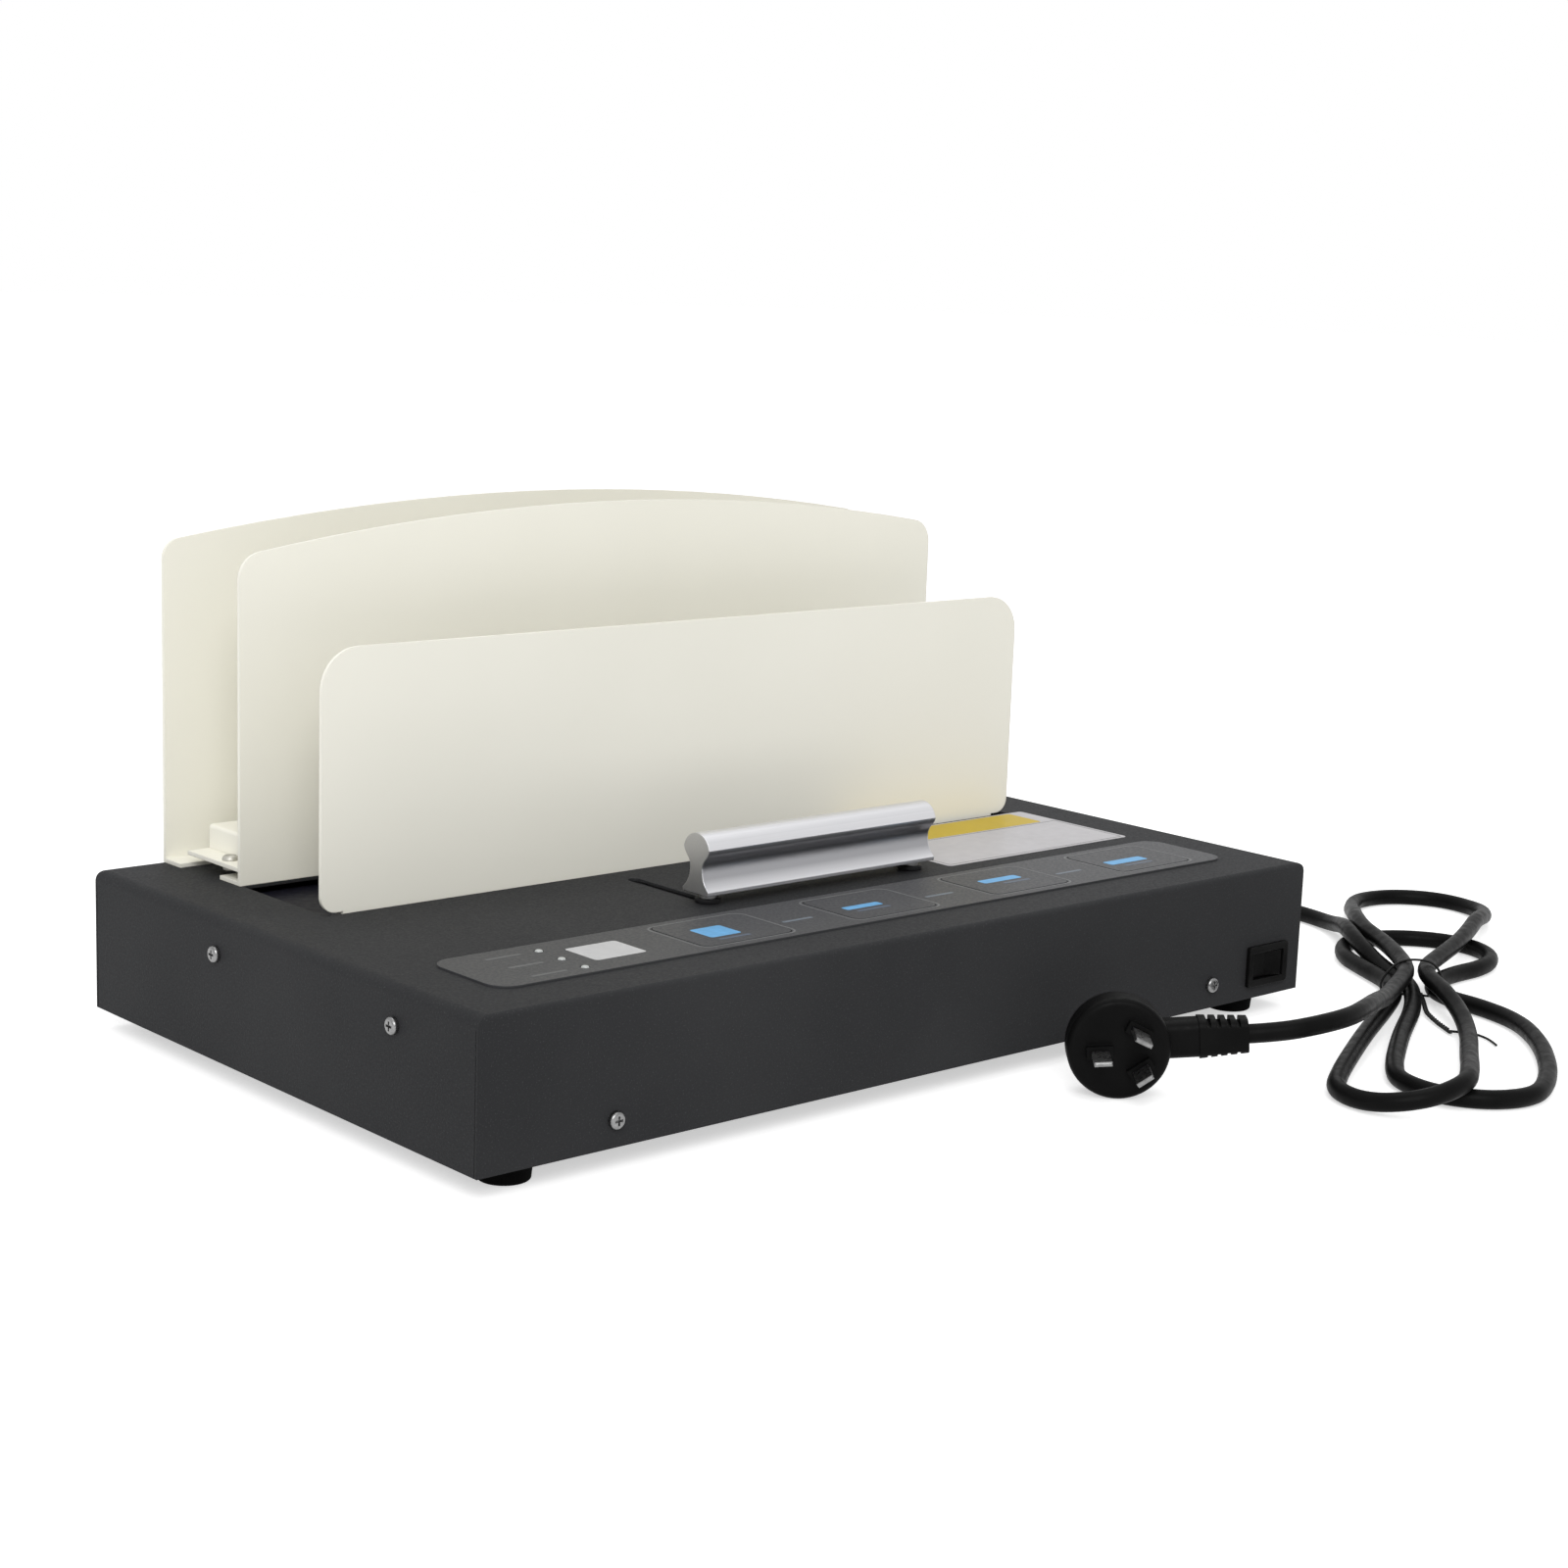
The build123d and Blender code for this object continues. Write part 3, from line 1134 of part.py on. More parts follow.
def plug_body():
    disc = Cylinder(PLUG_R, PLUG_T)
    disc = fillet(disc.edges().group_by(Axis.Z)[-1], PLUG_FACE_EDGE)
    disc = fillet(disc.edges().group_by(Axis.Z)[0], PLUG_BACK_EDGE)
    neck = Pos(PLUG_NECK_X / 2, 0, 0) * Box(PLUG_NECK_X, PLUG_NECK_H, PLUG_NECK_T)
    neck = fillet(neck.edges().filter_by(Axis.X), PLUG_NECK_EDGE)
    body = disc + Pos(0, 0, -PLUG_NECK_BACK) * (neck + plug_relief())
    body += group(pin_prisms(PIN_COLLAR_W, PIN_COLLAR_T, PIN_COLLAR_H, PIN_COLLAR_H))
    for pin in pin_prisms(PIN_W, PIN_T, EARTH_PIN_L, PIN_L):
        body -= pin
    return plug_frame() * body


def pin_prisms(width, thickness, earth_l, live_l):
    """Three flat prisms that stand out of the pin face, in the plug's local frame."""
    face = PLUG_T / 2
    earth = Box(width, thickness, earth_l + PIN_BURIED)
    prisms = [Pos(EARTH_PIN_X, 0, face + (earth_l - PIN_BURIED) / 2) * earth]
    for side in (-1, 1):
        place = Pos(LIVE_PIN_X, side * LIVE_PIN_Y, face + (live_l - PIN_BURIED) / 2)
        live = Box(width, thickness, live_l + PIN_BURIED)
        prisms.append(place * Rot(0, 0, -side * LIVE_PIN_TILT) * live)
    return prisms


def plug_pins():
    pins = pin_prisms(PIN_W, PIN_T, EARTH_PIN_L, PIN_L)
    pins = [chamfer(pin.edges().group_by(Axis.Z)[-1], 0.4) for pin in pins]
    return group(plug_frame() * pin for pin in pins)


# ================================================================ build
def all_nodes():
    nodes = {
        "top_cover": top_cover(),
        "base_pan": base_pan(),
        "rubber_feet": rubber_feet(),
        "foot_screws": foot_screws(),
        "cover_screws": cover_screws(),
        "front_panel": front_panel(),
        "middle_panel": middle_panel(),
        "rear_panel": rear_panel(),
        "panel_rivets": panel_rivets(),
        "shelf_spacers": shelf_spacers(),
        "spacer_screws": spacer_screws(),
        "rack_shelf": rack_shelf(),
        "rack_tray": rack_tray(),
        "rack_screws": rack_screws(),
        "clamp_handle": clamp_handle(),
        "handle_posts": handle_posts(),
        "glide_washers": glide_washers(),
        "handle_screws": handle_screws(),
        "bearing_blocks": bearing_blocks(),
        "slide_bushes": slide_bushes(),
        "block_studs": block_studs(),
        "guide_rods": guide_rods(),
        "rod_brackets": rod_brackets(),
        "control_overlay": control_overlay(),
        "key_switches": key_switches(),
        "display_board": display_board(),
        "board_posts": board_posts(),
        "display_module": display_module(),
        "display_window": display_window(),
        "status_lamps": status_lamps(),
        "rocker_bezel": rocker_bezel(),
        "power_rocker": power_rocker(),
        "rocker_terminals": rocker_terminals(),
        "heating_plate": heating_plate(),
        "heater_element": heater_element(),
        "heater_clamp": heater_clamp(),
        "insulation_pad": insulation_pad(),
        "heater_pillars": heater_pillars(),
        "thermostat": thermostat(),
        "thermal_fuse": thermal_fuse(),
        "main_board": main_board(),
        "main_standoffs": main_standoffs(),
        "relay": relay(),
        "capacitor": capacitor(),
        "buzzer": buzzer(),
        "terminal_block": terminal_block(),
        "transformer_core": transformer_core(),
        "transformer_coil": transformer_coil(),
        "blank_sticker": blank_sticker(),
        "cord_gland": cord_gland(),
        "cord_lead": cord_tube(LEAD_ROUTE, CORD_R),
        "cord_tail": cord_tube(TAIL_ROUTE, CORD_R),
        "cord_hank": cord_hank(),
        "cord_tie": cord_tie(),
        "plug_body": plug_body(),
        "plug_pins": plug_pins(),
    }
    for name in CORD_NODES:
        nodes[name] = Pos(CORD_SHIFT, 0, 0) * nodes[name]
    for number, x in enumerate(KEY_X, start=1):
        nodes[f"key_{number}"] = group([key_pad(x), key_plunger(x)])
    return nodes


os.makedirs("parts", exist_ok=True)
for name, shape in all_nodes().items():
    export_step(shape, f"parts/{name}.step")
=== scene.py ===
from math import cos, pi, radians, sin

import bmesh
import bpy
from mathutils import Matrix, Vector


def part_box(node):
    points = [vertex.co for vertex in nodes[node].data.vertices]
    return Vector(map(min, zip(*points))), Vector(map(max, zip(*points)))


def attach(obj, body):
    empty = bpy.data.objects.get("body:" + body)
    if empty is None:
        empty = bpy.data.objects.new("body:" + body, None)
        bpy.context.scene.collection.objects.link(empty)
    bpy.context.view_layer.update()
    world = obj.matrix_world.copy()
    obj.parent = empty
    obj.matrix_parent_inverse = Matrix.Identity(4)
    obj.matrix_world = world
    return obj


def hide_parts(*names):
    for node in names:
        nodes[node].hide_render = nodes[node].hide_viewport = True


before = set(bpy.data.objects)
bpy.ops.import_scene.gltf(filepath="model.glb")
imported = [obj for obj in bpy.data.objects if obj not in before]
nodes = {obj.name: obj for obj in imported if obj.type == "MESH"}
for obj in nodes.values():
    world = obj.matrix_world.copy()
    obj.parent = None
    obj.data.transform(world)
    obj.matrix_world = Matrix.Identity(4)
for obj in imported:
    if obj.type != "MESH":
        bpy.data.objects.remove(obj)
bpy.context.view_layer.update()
scene = bpy.context.scene
scene.view_settings.view_transform = "Standard"

MM = 0.001


def add_object(name, data):
    made = bpy.data.objects.new(name, data)
    scene.collection.objects.link(made)
    return made


# ---------------------------------------------------------------- camera
LENS_MM = 63.35
SENSOR_MM = 36.0
CAMERA_AT = (-0.6719, -0.77698, 0.28687)
# Heading, tilt and roll in degrees, from looking straight down with +Y up.
CAMERA_TURNS = (("Z", -42.04), ("X", 79.26), ("Z", 2.02))


def make_camera():
    data = bpy.data.cameras.new("camera")
    data.lens = LENS_MM
    data.sensor_width = SENSOR_MM
    data.sensor_fit = "HORIZONTAL"
    placed = Matrix.Translation(CAMERA_AT)
    for axis, degrees in CAMERA_TURNS:
        placed = placed @ Matrix.Rotation(radians(degrees), 4, axis)
    camera = add_object("camera", data)
    camera.matrix_world = placed
    scene.camera = camera


# ---------------------------------------------------------------- cord
CORD_R = 0.0035
SPLINE_STEPS = 10
TUBE_ROUNDNESS = 7
# Control points, given one by one.
CORD_ROUTE = [
    # from the gland down to the floor
    (0.228, 0.060, 0.026), (0.256, 0.060, 0.026), (0.288, 0.050, 0.018), (0.313, 0.025, 0.008),
    (0.324, -0.007, 0.0035), (0.323, -0.030, 0.0035), (0.317, -0.049, 0.004),
    # over the left side of the far loops into the tie
    (0.305, -0.064, 0.008), (0.291, -0.077, 0.0105), (0.279, -0.093, 0.0085),
    (0.271, -0.110, 0.004), (0.262, -0.128, 0.0035),
    # inner loop of the near end
    (0.2495, -0.1415, 0.0035), (0.225, -0.159, 0.0035), (0.196, -0.175, 0.0035),
    (0.170, -0.191, 0.0035), (0.152, -0.203, 0.0035), (0.1395, -0.214, 0.0035),
    (0.136, -0.2325, 0.0035), (0.146, -0.249, 0.0035), (0.164, -0.2555, 0.0035),
    (0.183, -0.248, 0.0035), (0.205, -0.234, 0.0035), (0.228, -0.215, 0.0035),
    (0.246, -0.194, 0.0035), (0.2525, -0.172, 0.0035), (0.2525, -0.156, 0.0035),
    # wide low loop of the far end
    (0.2615, -0.1405, 0.0035), (0.283, -0.134, 0.0035), (0.312, -0.135, 0.0035),
    (0.332, -0.123, 0.0035), (0.337, -0.100, 0.0035), (0.322, -0.079, 0.0035),
    (0.297, -0.072, 0.0035), (0.275, -0.086, 0.0035), (0.264, -0.106, 0.0035),
    (0.255, -0.124, 0.0035),
    # outer loop of the near end, which climbs over the inner one
    (0.243, -0.138, 0.0035), (0.216, -0.152, 0.0035), (0.184, -0.167, 0.0035),
    (0.153, -0.183, 0.0035), (0.127, -0.197, 0.0035), (0.1097, -0.2081, 0.0035),
    (0.1058, -0.2265, 0.004), (0.116, -0.2423, 0.0075), (0.1345, -0.2462, 0.011),
    (0.1515, -0.236, 0.0105), (0.180, -0.216, 0.007), (0.208, -0.197, 0.005),
    (0.227, -0.180, 0.007), (0.2403, -0.1627, 0.010),
    # long loop of the far end, on top of the low one
    (0.2512, -0.1471, 0.0105), (0.2642, -0.1361, 0.0105), (0.284, -0.129, 0.0105),
    (0.309, -0.120, 0.0105), (0.334, -0.109, 0.0105), (0.358, -0.097, 0.0105),
    (0.383, -0.085, 0.006), (0.400, -0.070, 0.0035), (0.403, -0.047, 0.0035),
    (0.389, -0.029, 0.0035), (0.367, -0.025, 0.0035), (0.347, -0.037, 0.0045),
    (0.330, -0.051, 0.008), (0.313, -0.065, 0.0105), (0.299, -0.080, 0.0105),
    (0.287, -0.098, 0.0105), (0.273, -0.115, 0.011),
    # out of the tie to the plug
    (0.259, -0.130, 0.011), (0.246, -0.140, 0.0112), (0.228, -0.1488, 0.0116),
    (0.206, -0.160, 0.013), (0.1855, -0.1723, 0.0175), (0.164, -0.1838, 0.0221),
    (0.1445, -0.1942, 0.0253), (0.126, -0.2009, 0.0264), (0.109, -0.1998, 0.0258),
    (0.0957, -0.1936, 0.02392), (0.087, -0.1855, 0.0228),
]


def spline_object(name, points, radius, closed=False):
    curve = bpy.data.curves.new(name, "CURVE")
    curve.dimensions = "3D"
    spline = curve.splines.new("NURBS")
    spline.points.add(len(points) - 1)
    for place, point in zip(spline.points, points):
        place.co = (*point, 1.0)
    spline.order_u = 3
    spline.use_cyclic_u = closed
    spline.use_endpoint_u = not closed
    spline.resolution_u = SPLINE_STEPS
    curve.bevel_depth = radius
    curve.bevel_resolution = TUBE_ROUNDNESS
    curve.use_fill_caps = True
    return add_object(name, curve)


def make_cord():
    cord = spline_object("mains_cord", CORD_ROUTE, CORD_R)
    cord.data.materials.append(cord_sheath())
    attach(cord, "chassis")
    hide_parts("cord_lead", "cord_hank", "cord_tail")


# ---------------------------------------------------------------- materials
# Nearly all of a noise texture's values lie between these two.
NOISE_LOW = 0.3
NOISE_HIGH = 0.7
NOISE_ROUGHNESS = 0.55


class Look:
    """One procedural material; its detail follows the object's own space, in metres."""

    def __init__(self, name, colour, roughness, metallic=0.0, **sockets):
        self.material = bpy.data.materials.new(name)
        self.material.use_nodes = True
        self.tree = self.material.node_tree
        self.shader = self.tree.nodes["Principled BSDF"]
        self.colour = colour
        self.shader.inputs["Base Color"].default_value = (*colour, 1.0)
        self.shader.inputs["Roughness"].default_value = roughness
        self.shader.inputs["Metallic"].default_value = metallic
        for socket, value in sockets.items():
            self.shader.inputs[socket.replace("_", " ")].default_value = value
        self.place = self.add("ShaderNodeTexCoord").outputs["Object"]
        self.normal = None

    def add(self, kind, **settings):
        made = self.tree.nodes.new(kind)
        for key, value in settings.items():
            setattr(made, key, value)
        return made

    def join(self, output, socket):
        self.tree.links.new(output, socket)

    def along(self, axis):
        """Place along the object's own X, Y or Z."""
        split = self.add("ShaderNodeSeparateXYZ")
        self.join(self.place, split.inputs["Vector"])
        return split.outputs[axis]

    def stretched(self, stretch):
        mapping = self.add("ShaderNodeMapping")
        mapping.inputs["Scale"].default_value = stretch
        self.join(self.place, mapping.inputs["Vector"])
        return mapping.outputs["Vector"]

    def noise(self, scale, detail=3.0, stretch=None):
        texture = self.add("ShaderNodeTexNoise")
        texture.inputs["Scale"].default_value = scale
        texture.inputs["Detail"].default_value = detail
        texture.inputs["Roughness"].default_value = NOISE_ROUGHNESS
        vector = self.place if stretch is None else self.stretched(stretch)
        self.join(vector, texture.inputs["Vector"])
        return texture.outputs["Fac"]

    def waves(self, scale, direction, distortion=0.0):
        bands = self.add("ShaderNodeTexWave", wave_type="BANDS", bands_direction=direction)
        bands.inputs["Scale"].default_value = scale
        bands.inputs["Distortion"].default_value = distortion
        self.join(self.place, bands.inputs["Vector"])
        return bands.outputs["Fac"]

    def remap(self, value, low, high, to_low, to_high):
        made = self.add("ShaderNodeMapRange")
        for socket, number in zip(("From Min", "From Max", "To Min", "To Max"),
                                  (low, high, to_low, to_high)):
            made.inputs[socket].default_value = number
        self.join(value, made.inputs["Value"])
        return made.outputs["Result"]

    def tint(self, value, first, second):
        """Colour that goes from first to second as a noise goes from low to high."""
        ramp = self.add("ShaderNodeValToRGB")
        ramp.color_ramp.elements[0].position = NOISE_LOW
        ramp.color_ramp.elements[0].color = (*first, 1.0)
        ramp.color_ramp.elements[1].position = NOISE_HIGH
        ramp.color_ramp.elements[1].color = (*second, 1.0)
        self.join(value, ramp.inputs["Fac"])
        return ramp.outputs["Color"]

    def blend(self, factor, first, second, mode="MIX"):
        mix = self.add("ShaderNodeMix", data_type="RGBA", blend_type=mode)
        for output, socket in ((factor, mix.inputs[0]), (first, mix.inputs[6]),
                               (second, mix.inputs[7])):
            if isinstance(output, (int, float)):
                socket.default_value = output
            elif isinstance(output, tuple):
                socket.default_value = (*output, 1.0)
            else:
                self.join(output, socket)
        return mix.outputs[2]

    def paint(self, colour_output):
        self.join(colour_output, self.shader.inputs["Base Color"])

    def vary(self, value, spread):
        """Light and dark patches of the material's own colour."""
        dark = tuple(c * (1 - spread) for c in self.colour)
        pale = tuple(c * (1 + spread) for c in self.colour)
        self.paint(self.tint(value, dark, pale))

    def gloss(self, value, rough_low, rough_high):
        self.join(self.remap(value, NOISE_LOW, NOISE_HIGH, rough_low, rough_high),
                  self.shader.inputs["Roughness"])

    def soften(self, radius):
        """Small round on the edges of folded sheet and turned parts."""
        bevel = self.add("ShaderNodeBevel", samples=4)
        bevel.inputs["Radius"].default_value = radius
        self.normal = bevel.outputs["Normal"]

    def bump(self, value, depth, strength):
        made = self.add("ShaderNodeBump")
        made.inputs["Strength"].default_value = strength
        made.inputs["Distance"].default_value = depth
        self.join(value, made.inputs["Height"])
        if self.normal is not None:
            self.join(self.normal, made.inputs["Normal"])
        self.normal = made.outputs["Normal"]
        self.join(self.normal, self.shader.inputs["Normal"])

    def done(self):
        return self.material


def housing_paint():
    look = Look("housing_paint", (0.025, 0.0255, 0.027), 0.62, Specular_IOR_Level=0.08)
    grain = look.noise(1100.0, 2.0)
    base = look.tint(look.noise(14.0), (0.022, 0.0225, 0.024), (0.028, 0.0285, 0.030))
    specks = look.remap(look.noise(1700.0, 1.0), 0.60, 0.74, 0.0, 0.5)
    look.paint(look.blend(specks, base, (0.055, 0.056, 0.058)))
    look.gloss(grain, 0.56, 0.72)
    look.soften(0.6 * MM)
    look.bump(grain, depth=0.07 * MM, strength=0.5)
    look.bump(look.noise(320.0, 2.0), depth=0.10 * MM, strength=0.25)
    return look.done()


def panel_paint():
    """Warm white coat, with painted shade, dark grey, on what lies under the top of the cover."""
    look = Look("panel_paint", (0.80, 0.79, 0.70), 0.42, Specular_IOR_Level=0.35)
    coat = look.tint(look.noise(9.0, 2.0), (0.815, 0.80, 0.715), (0.845, 0.83, 0.745))
    cover_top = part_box("top_cover")[1].z
    # Painted shade: everything under the top of the cover turns dark grey, as in the shadow of the
    # slot.
    under_cover_shade = look.remap(look.along("Z"), cover_top - 1.3 * MM, cover_top - 0.7 * MM, 1.0, 0.0)
    look.paint(look.blend(under_cover_shade, coat, (0.03, 0.03, 0.032)))
    look.gloss(look.noise(60.0), 0.38, 0.48)
    look.soften(0.5 * MM)
    look.bump(look.noise(650.0, 2.0), depth=0.03 * MM, strength=0.35)
    look.bump(look.noise(120.0, 2.0), depth=0.06 * MM, strength=0.2)
    return look.done()


def foot_rubber():
    look = Look("foot_rubber", (0.005, 0.005, 0.005), 0.85, Specular_IOR_Level=0.03)
    look.vary(look.noise(120.0), 0.35)
    look.soften(0.4 * MM)
    look.bump(look.noise(900.0), depth=0.06 * MM, strength=0.5)
    return look.done()


def steel_screw():
    look = Look("steel_screw", (0.24, 0.24, 0.24), 0.26, metallic=1.0)
    look.vary(look.noise(700.0, 4.0), 0.16)
    look.gloss(look.noise(1600.0, 2.0), 0.18, 0.40)
    look.soften(0.3 * MM)
    look.bump(look.noise(2600.0, 2.0), depth=0.02 * MM, strength=0.5)
    return look.done()


def rack_screw_zinc():
    look = Look("rack_screw_zinc", (0.46, 0.45, 0.41), 0.48, metallic=0.8)
    look.vary(look.noise(700.0, 4.0), 0.1)
    look.gloss(look.noise(1600.0, 2.0), 0.42, 0.56)
    look.soften(0.3 * MM)
    look.bump(look.noise(2600.0, 2.0), depth=0.02 * MM, strength=0.4)
    return look.done()


def grip_aluminium():
    """Satin metal with lines along the extrusion, and a painted dark reflection across the concave
    middle of its section.
    """
    look = Look("grip_aluminium", (0.66, 0.66, 0.68), 0.32, metallic=1.0)
    lines = look.noise(1.0, stretch=(6.0, 3200.0, 3200.0))
    satin = look.tint(lines, (0.64, 0.64, 0.66), (0.69, 0.69, 0.71))
    low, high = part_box("clamp_handle")
    middle = (low.z + high.z) / 2
    height = look.along("Z")
    length = look.along("X")
    # Painted reflection: the satin colour turns dark grey below the grip's head, as if mirroring
    # dark surroundings, and fades out higher up and at both ends.
    reflection_strength = 0.8
    reflection_end_fade = 0.6 * MM
    painted_reflection = look.remap(height, middle - 9.5 * MM, middle - 5.5 * MM, 0.0, reflection_strength)
    reflection_limits = (
        look.remap(height, middle + 2.5 * MM, middle + 5.0 * MM, reflection_strength, 0.0),
        look.remap(length, low.x, low.x + reflection_end_fade, 0.0, 1.0),
        look.remap(length, high.x - reflection_end_fade, high.x, 1.0, 0.0),
    )
    for limit in reflection_limits:
        painted_reflection = look.blend(1.0, painted_reflection, limit, "DARKEN")
    # Dark grey of the painted reflection, mixed over the satin colour.
    look.paint(look.blend(painted_reflection, satin, (0.26, 0.26, 0.275)))
    look.gloss(lines, 0.29, 0.37)
    look.soften(0.4 * MM)
    look.bump(lines, depth=0.01 * MM, strength=0.3)
    return look.done()


def post_steel():
    look = Look("post_steel", (0.50, 0.50, 0.50), 0.32, metallic=1.0)
    lines = look.noise(1.0, stretch=(300.0, 300.0, 2200.0))
    look.vary(lines, 0.12)
    look.gloss(lines, 0.25, 0.42)
    look.soften(0.3 * MM)
    look.bump(lines, depth=0.02 * MM, strength=0.4)
    return look.done()


def black_plastic():
    look = Look("black_plastic", (0.010, 0.010, 0.011), 0.50, Specular_IOR_Level=0.2)
    look.vary(look.noise(80.0), 0.25)
    look.gloss(look.noise(500.0), 0.40, 0.58)
    look.soften(0.3 * MM)
    look.bump(look.noise(1300.0, 2.0), depth=0.03 * MM, strength=0.5)
    return look.done()


def overlay_film():
    look = Look("overlay_film", (0.050, 0.051, 0.054), 0.46, Specular_IOR_Level=0.12)
    look.vary(look.noise(22.0, 2.0), 0.05)
    look.gloss(look.noise(900.0, 2.0), 0.36, 0.50)
    look.soften(0.3 * MM)
    look.bump(look.noise(1500.0, 2.0), depth=0.02 * MM, strength=0.4)
    return look.done()


def window_film():
    look = Look("window_film", (0.45, 0.455, 0.475), 0.16, Coat_Weight=0.2)
    look.vary(look.noise(160.0, 2.0), 0.03)
    look.gloss(look.noise(300.0, 2.0), 0.12, 0.22)
    look.soften(0.3 * MM)
    look.bump(look.noise(500.0, 2.0), depth=0.01 * MM, strength=0.3)
    return look.done()


def lamp_lens():
    look = Look("lamp_lens", (0.40, 0.42, 0.41), 0.14, Coat_Weight=0.2)
    look.vary(look.noise(900.0, 2.0), 0.08)
    look.soften(0.2 * MM)
    look.bump(look.noise(1800.0, 2.0), depth=0.01 * MM, strength=0.3)
    return look.done()


def switch_black():
    look = Look("switch_black", (0.004, 0.004, 0.004), 0.36, Specular_IOR_Level=0.08)
    look.vary(look.noise(140.0), 0.3)
    look.gloss(look.noise(700.0), 0.28, 0.42)
    look.soften(0.4 * MM)
    look.bump(look.noise(1500.0, 2.0), depth=0.02 * MM, strength=0.5)
    return look.done()


def brass():
    look = Look("brass", (0.60, 0.46, 0.24), 0.28, metallic=1.0)
    look.vary(look.noise(400.0, 4.0), 0.12)
    look.gloss(look.noise(900.0), 0.20, 0.40)
    look.soften(0.2 * MM)
    look.bump(look.noise(1600.0, 2.0), depth=0.02 * MM, strength=0.4)
    return look.done()


def pin_metal():
    look = Look("pin_metal", (0.22, 0.22, 0.22), 0.30, metallic=1.0)
    look.vary(look.noise(500.0, 4.0), 0.2)
    look.gloss(look.noise(1200.0), 0.22, 0.42)
    look.soften(0.4 * MM)
    look.bump(look.noise(1800.0, 2.0), depth=0.02 * MM, strength=0.4)
    return look.done()


def hot_plate():
    look = Look("hot_plate", (0.009, 0.009, 0.014), 0.46, Specular_IOR_Level=0.1)
    look.vary(look.noise(1.0, stretch=(20.0, 700.0, 700.0)), 0.25)
    look.gloss(look.noise(300.0), 0.36, 0.52)
    look.soften(0.4 * MM)
    look.bump(look.noise(900.0, 2.0), depth=0.03 * MM, strength=0.5)
    return look.done()


def heater_alloy():
    look = Look("heater_alloy", (0.42, 0.42, 0.43), 0.38, metallic=1.0)
    look.vary(look.noise(220.0, 4.0), 0.12)
    look.gloss(look.noise(500.0), 0.30, 0.48)
    look.soften(0.3 * MM)
    look.bump(look.noise(1200.0, 2.0), depth=0.03 * MM, strength=0.5)
    return look.done()


def heater_mica():
    look = Look("heater_mica", (0.42, 0.34, 0.20), 0.35, Specular_IOR_Level=0.5)
    look.vary(look.noise(1.0, 4.0, stretch=(60.0, 400.0, 400.0)), 0.3)
    look.bump(look.noise(500.0), depth=0.05 * MM, strength=0.5)
    return look.done()


def insulation():
    look = Look("insulation", (0.68, 0.66, 0.60), 0.85, Specular_IOR_Level=0.2)
    look.vary(look.noise(180.0, 5.0), 0.12)
    look.bump(look.noise(420.0, 5.0), depth=0.15 * MM, strength=0.6)
    return look.done()


def circuit_board():
    """Green laminate with a grid of lighter tracks."""
    look = Look("circuit_board", (0.04, 0.20, 0.09), 0.35, Coat_Weight=0.3)
    tracks = look.add("ShaderNodeTexBrick", offset=0.37)
    tracks.inputs["Scale"].default_value = 90.0
    tracks.inputs["Mortar Size"].default_value = 0.055
    tracks.inputs["Color1"].default_value = (0.030, 0.17, 0.075, 1.0)
    tracks.inputs["Color2"].default_value = (0.036, 0.19, 0.085, 1.0)
    tracks.inputs["Mortar"].default_value = (0.060, 0.27, 0.12, 1.0)
    look.join(look.place, tracks.inputs["Vector"])
    look.paint(tracks.outputs["Color"])
    look.bump(look.noise(700.0), depth=0.02 * MM, strength=0.3)
    return look.done()


def coil_winding():
    look = Look("coil_winding", (0.42, 0.16, 0.05), 0.30, metallic=0.6)
    turns = look.waves(260.0, "Z", distortion=0.6)
    look.vary(turns, 0.35)
    look.bump(turns, depth=0.3 * MM, strength=0.8)
    return look.done()


def core_plates():
    look = Look("core_plates", (0.20, 0.20, 0.21), 0.45, metallic=0.9)
    plates = look.waves(320.0, "Y")
    look.vary(plates, 0.3)
    look.bump(plates, depth=0.1 * MM, strength=0.6)
    return look.done()


def sticker_film():
    look = Look("sticker_film", (0.42, 0.41, 0.425), 0.45, Specular_IOR_Level=0.2)
    look.vary(look.noise(40.0), 0.03)
    look.gloss(look.noise(200.0), 0.34, 0.46)
    look.bump(look.noise(600.0), depth=0.03 * MM, strength=0.4)
    return look.done()


def amber_ink():
    look = Look("amber_ink", (0.47, 0.34, 0.02), 0.42, Specular_IOR_Level=0.12)
    look.vary(look.noise(50.0), 0.05)
    look.bump(look.noise(600.0), depth=0.02 * MM, strength=0.4)
    return look.done()


def printed_ink(name, colour, patches, spread, roughness=0.44):
    """Ink with light and dark patches of the given noise scale."""
    look = Look(name, colour, roughness, Specular_IOR_Level=0.15)
    look.vary(look.noise(patches), spread)
    look.bump(look.noise(1500.0, 2.0), depth=0.01 * MM, strength=0.4)
    return look.done()


def blue_ink():
    return printed_ink("blue_ink", (0.12, 0.34, 0.60), 300.0, 0.10, roughness=0.42)


def dim_blue_ink():
    return printed_ink("dim_blue_ink", (0.085, 0.105, 0.14), 300.0, 0.10)


def pale_ink():
    return printed_ink("pale_ink", (0.125, 0.145, 0.17), 300.0, 0.12)


def line_ink():
    return printed_ink("line_ink", (0.095, 0.097, 0.10), 200.0, 0.12)


def frame_ink():
    return printed_ink("frame_ink", (0.125, 0.127, 0.13), 200.0, 0.12)


def cord_sheath():
    look = Look("cord_sheath", (0.004, 0.004, 0.004), 0.42, Specular_IOR_Level=0.045)
    look.vary(look.noise(60.0), 0.3)
    look.gloss(look.noise(260.0), 0.34, 0.50)
    look.bump(look.noise(900.0, 2.0), depth=0.03 * MM, strength=0.4)
    return look.done()


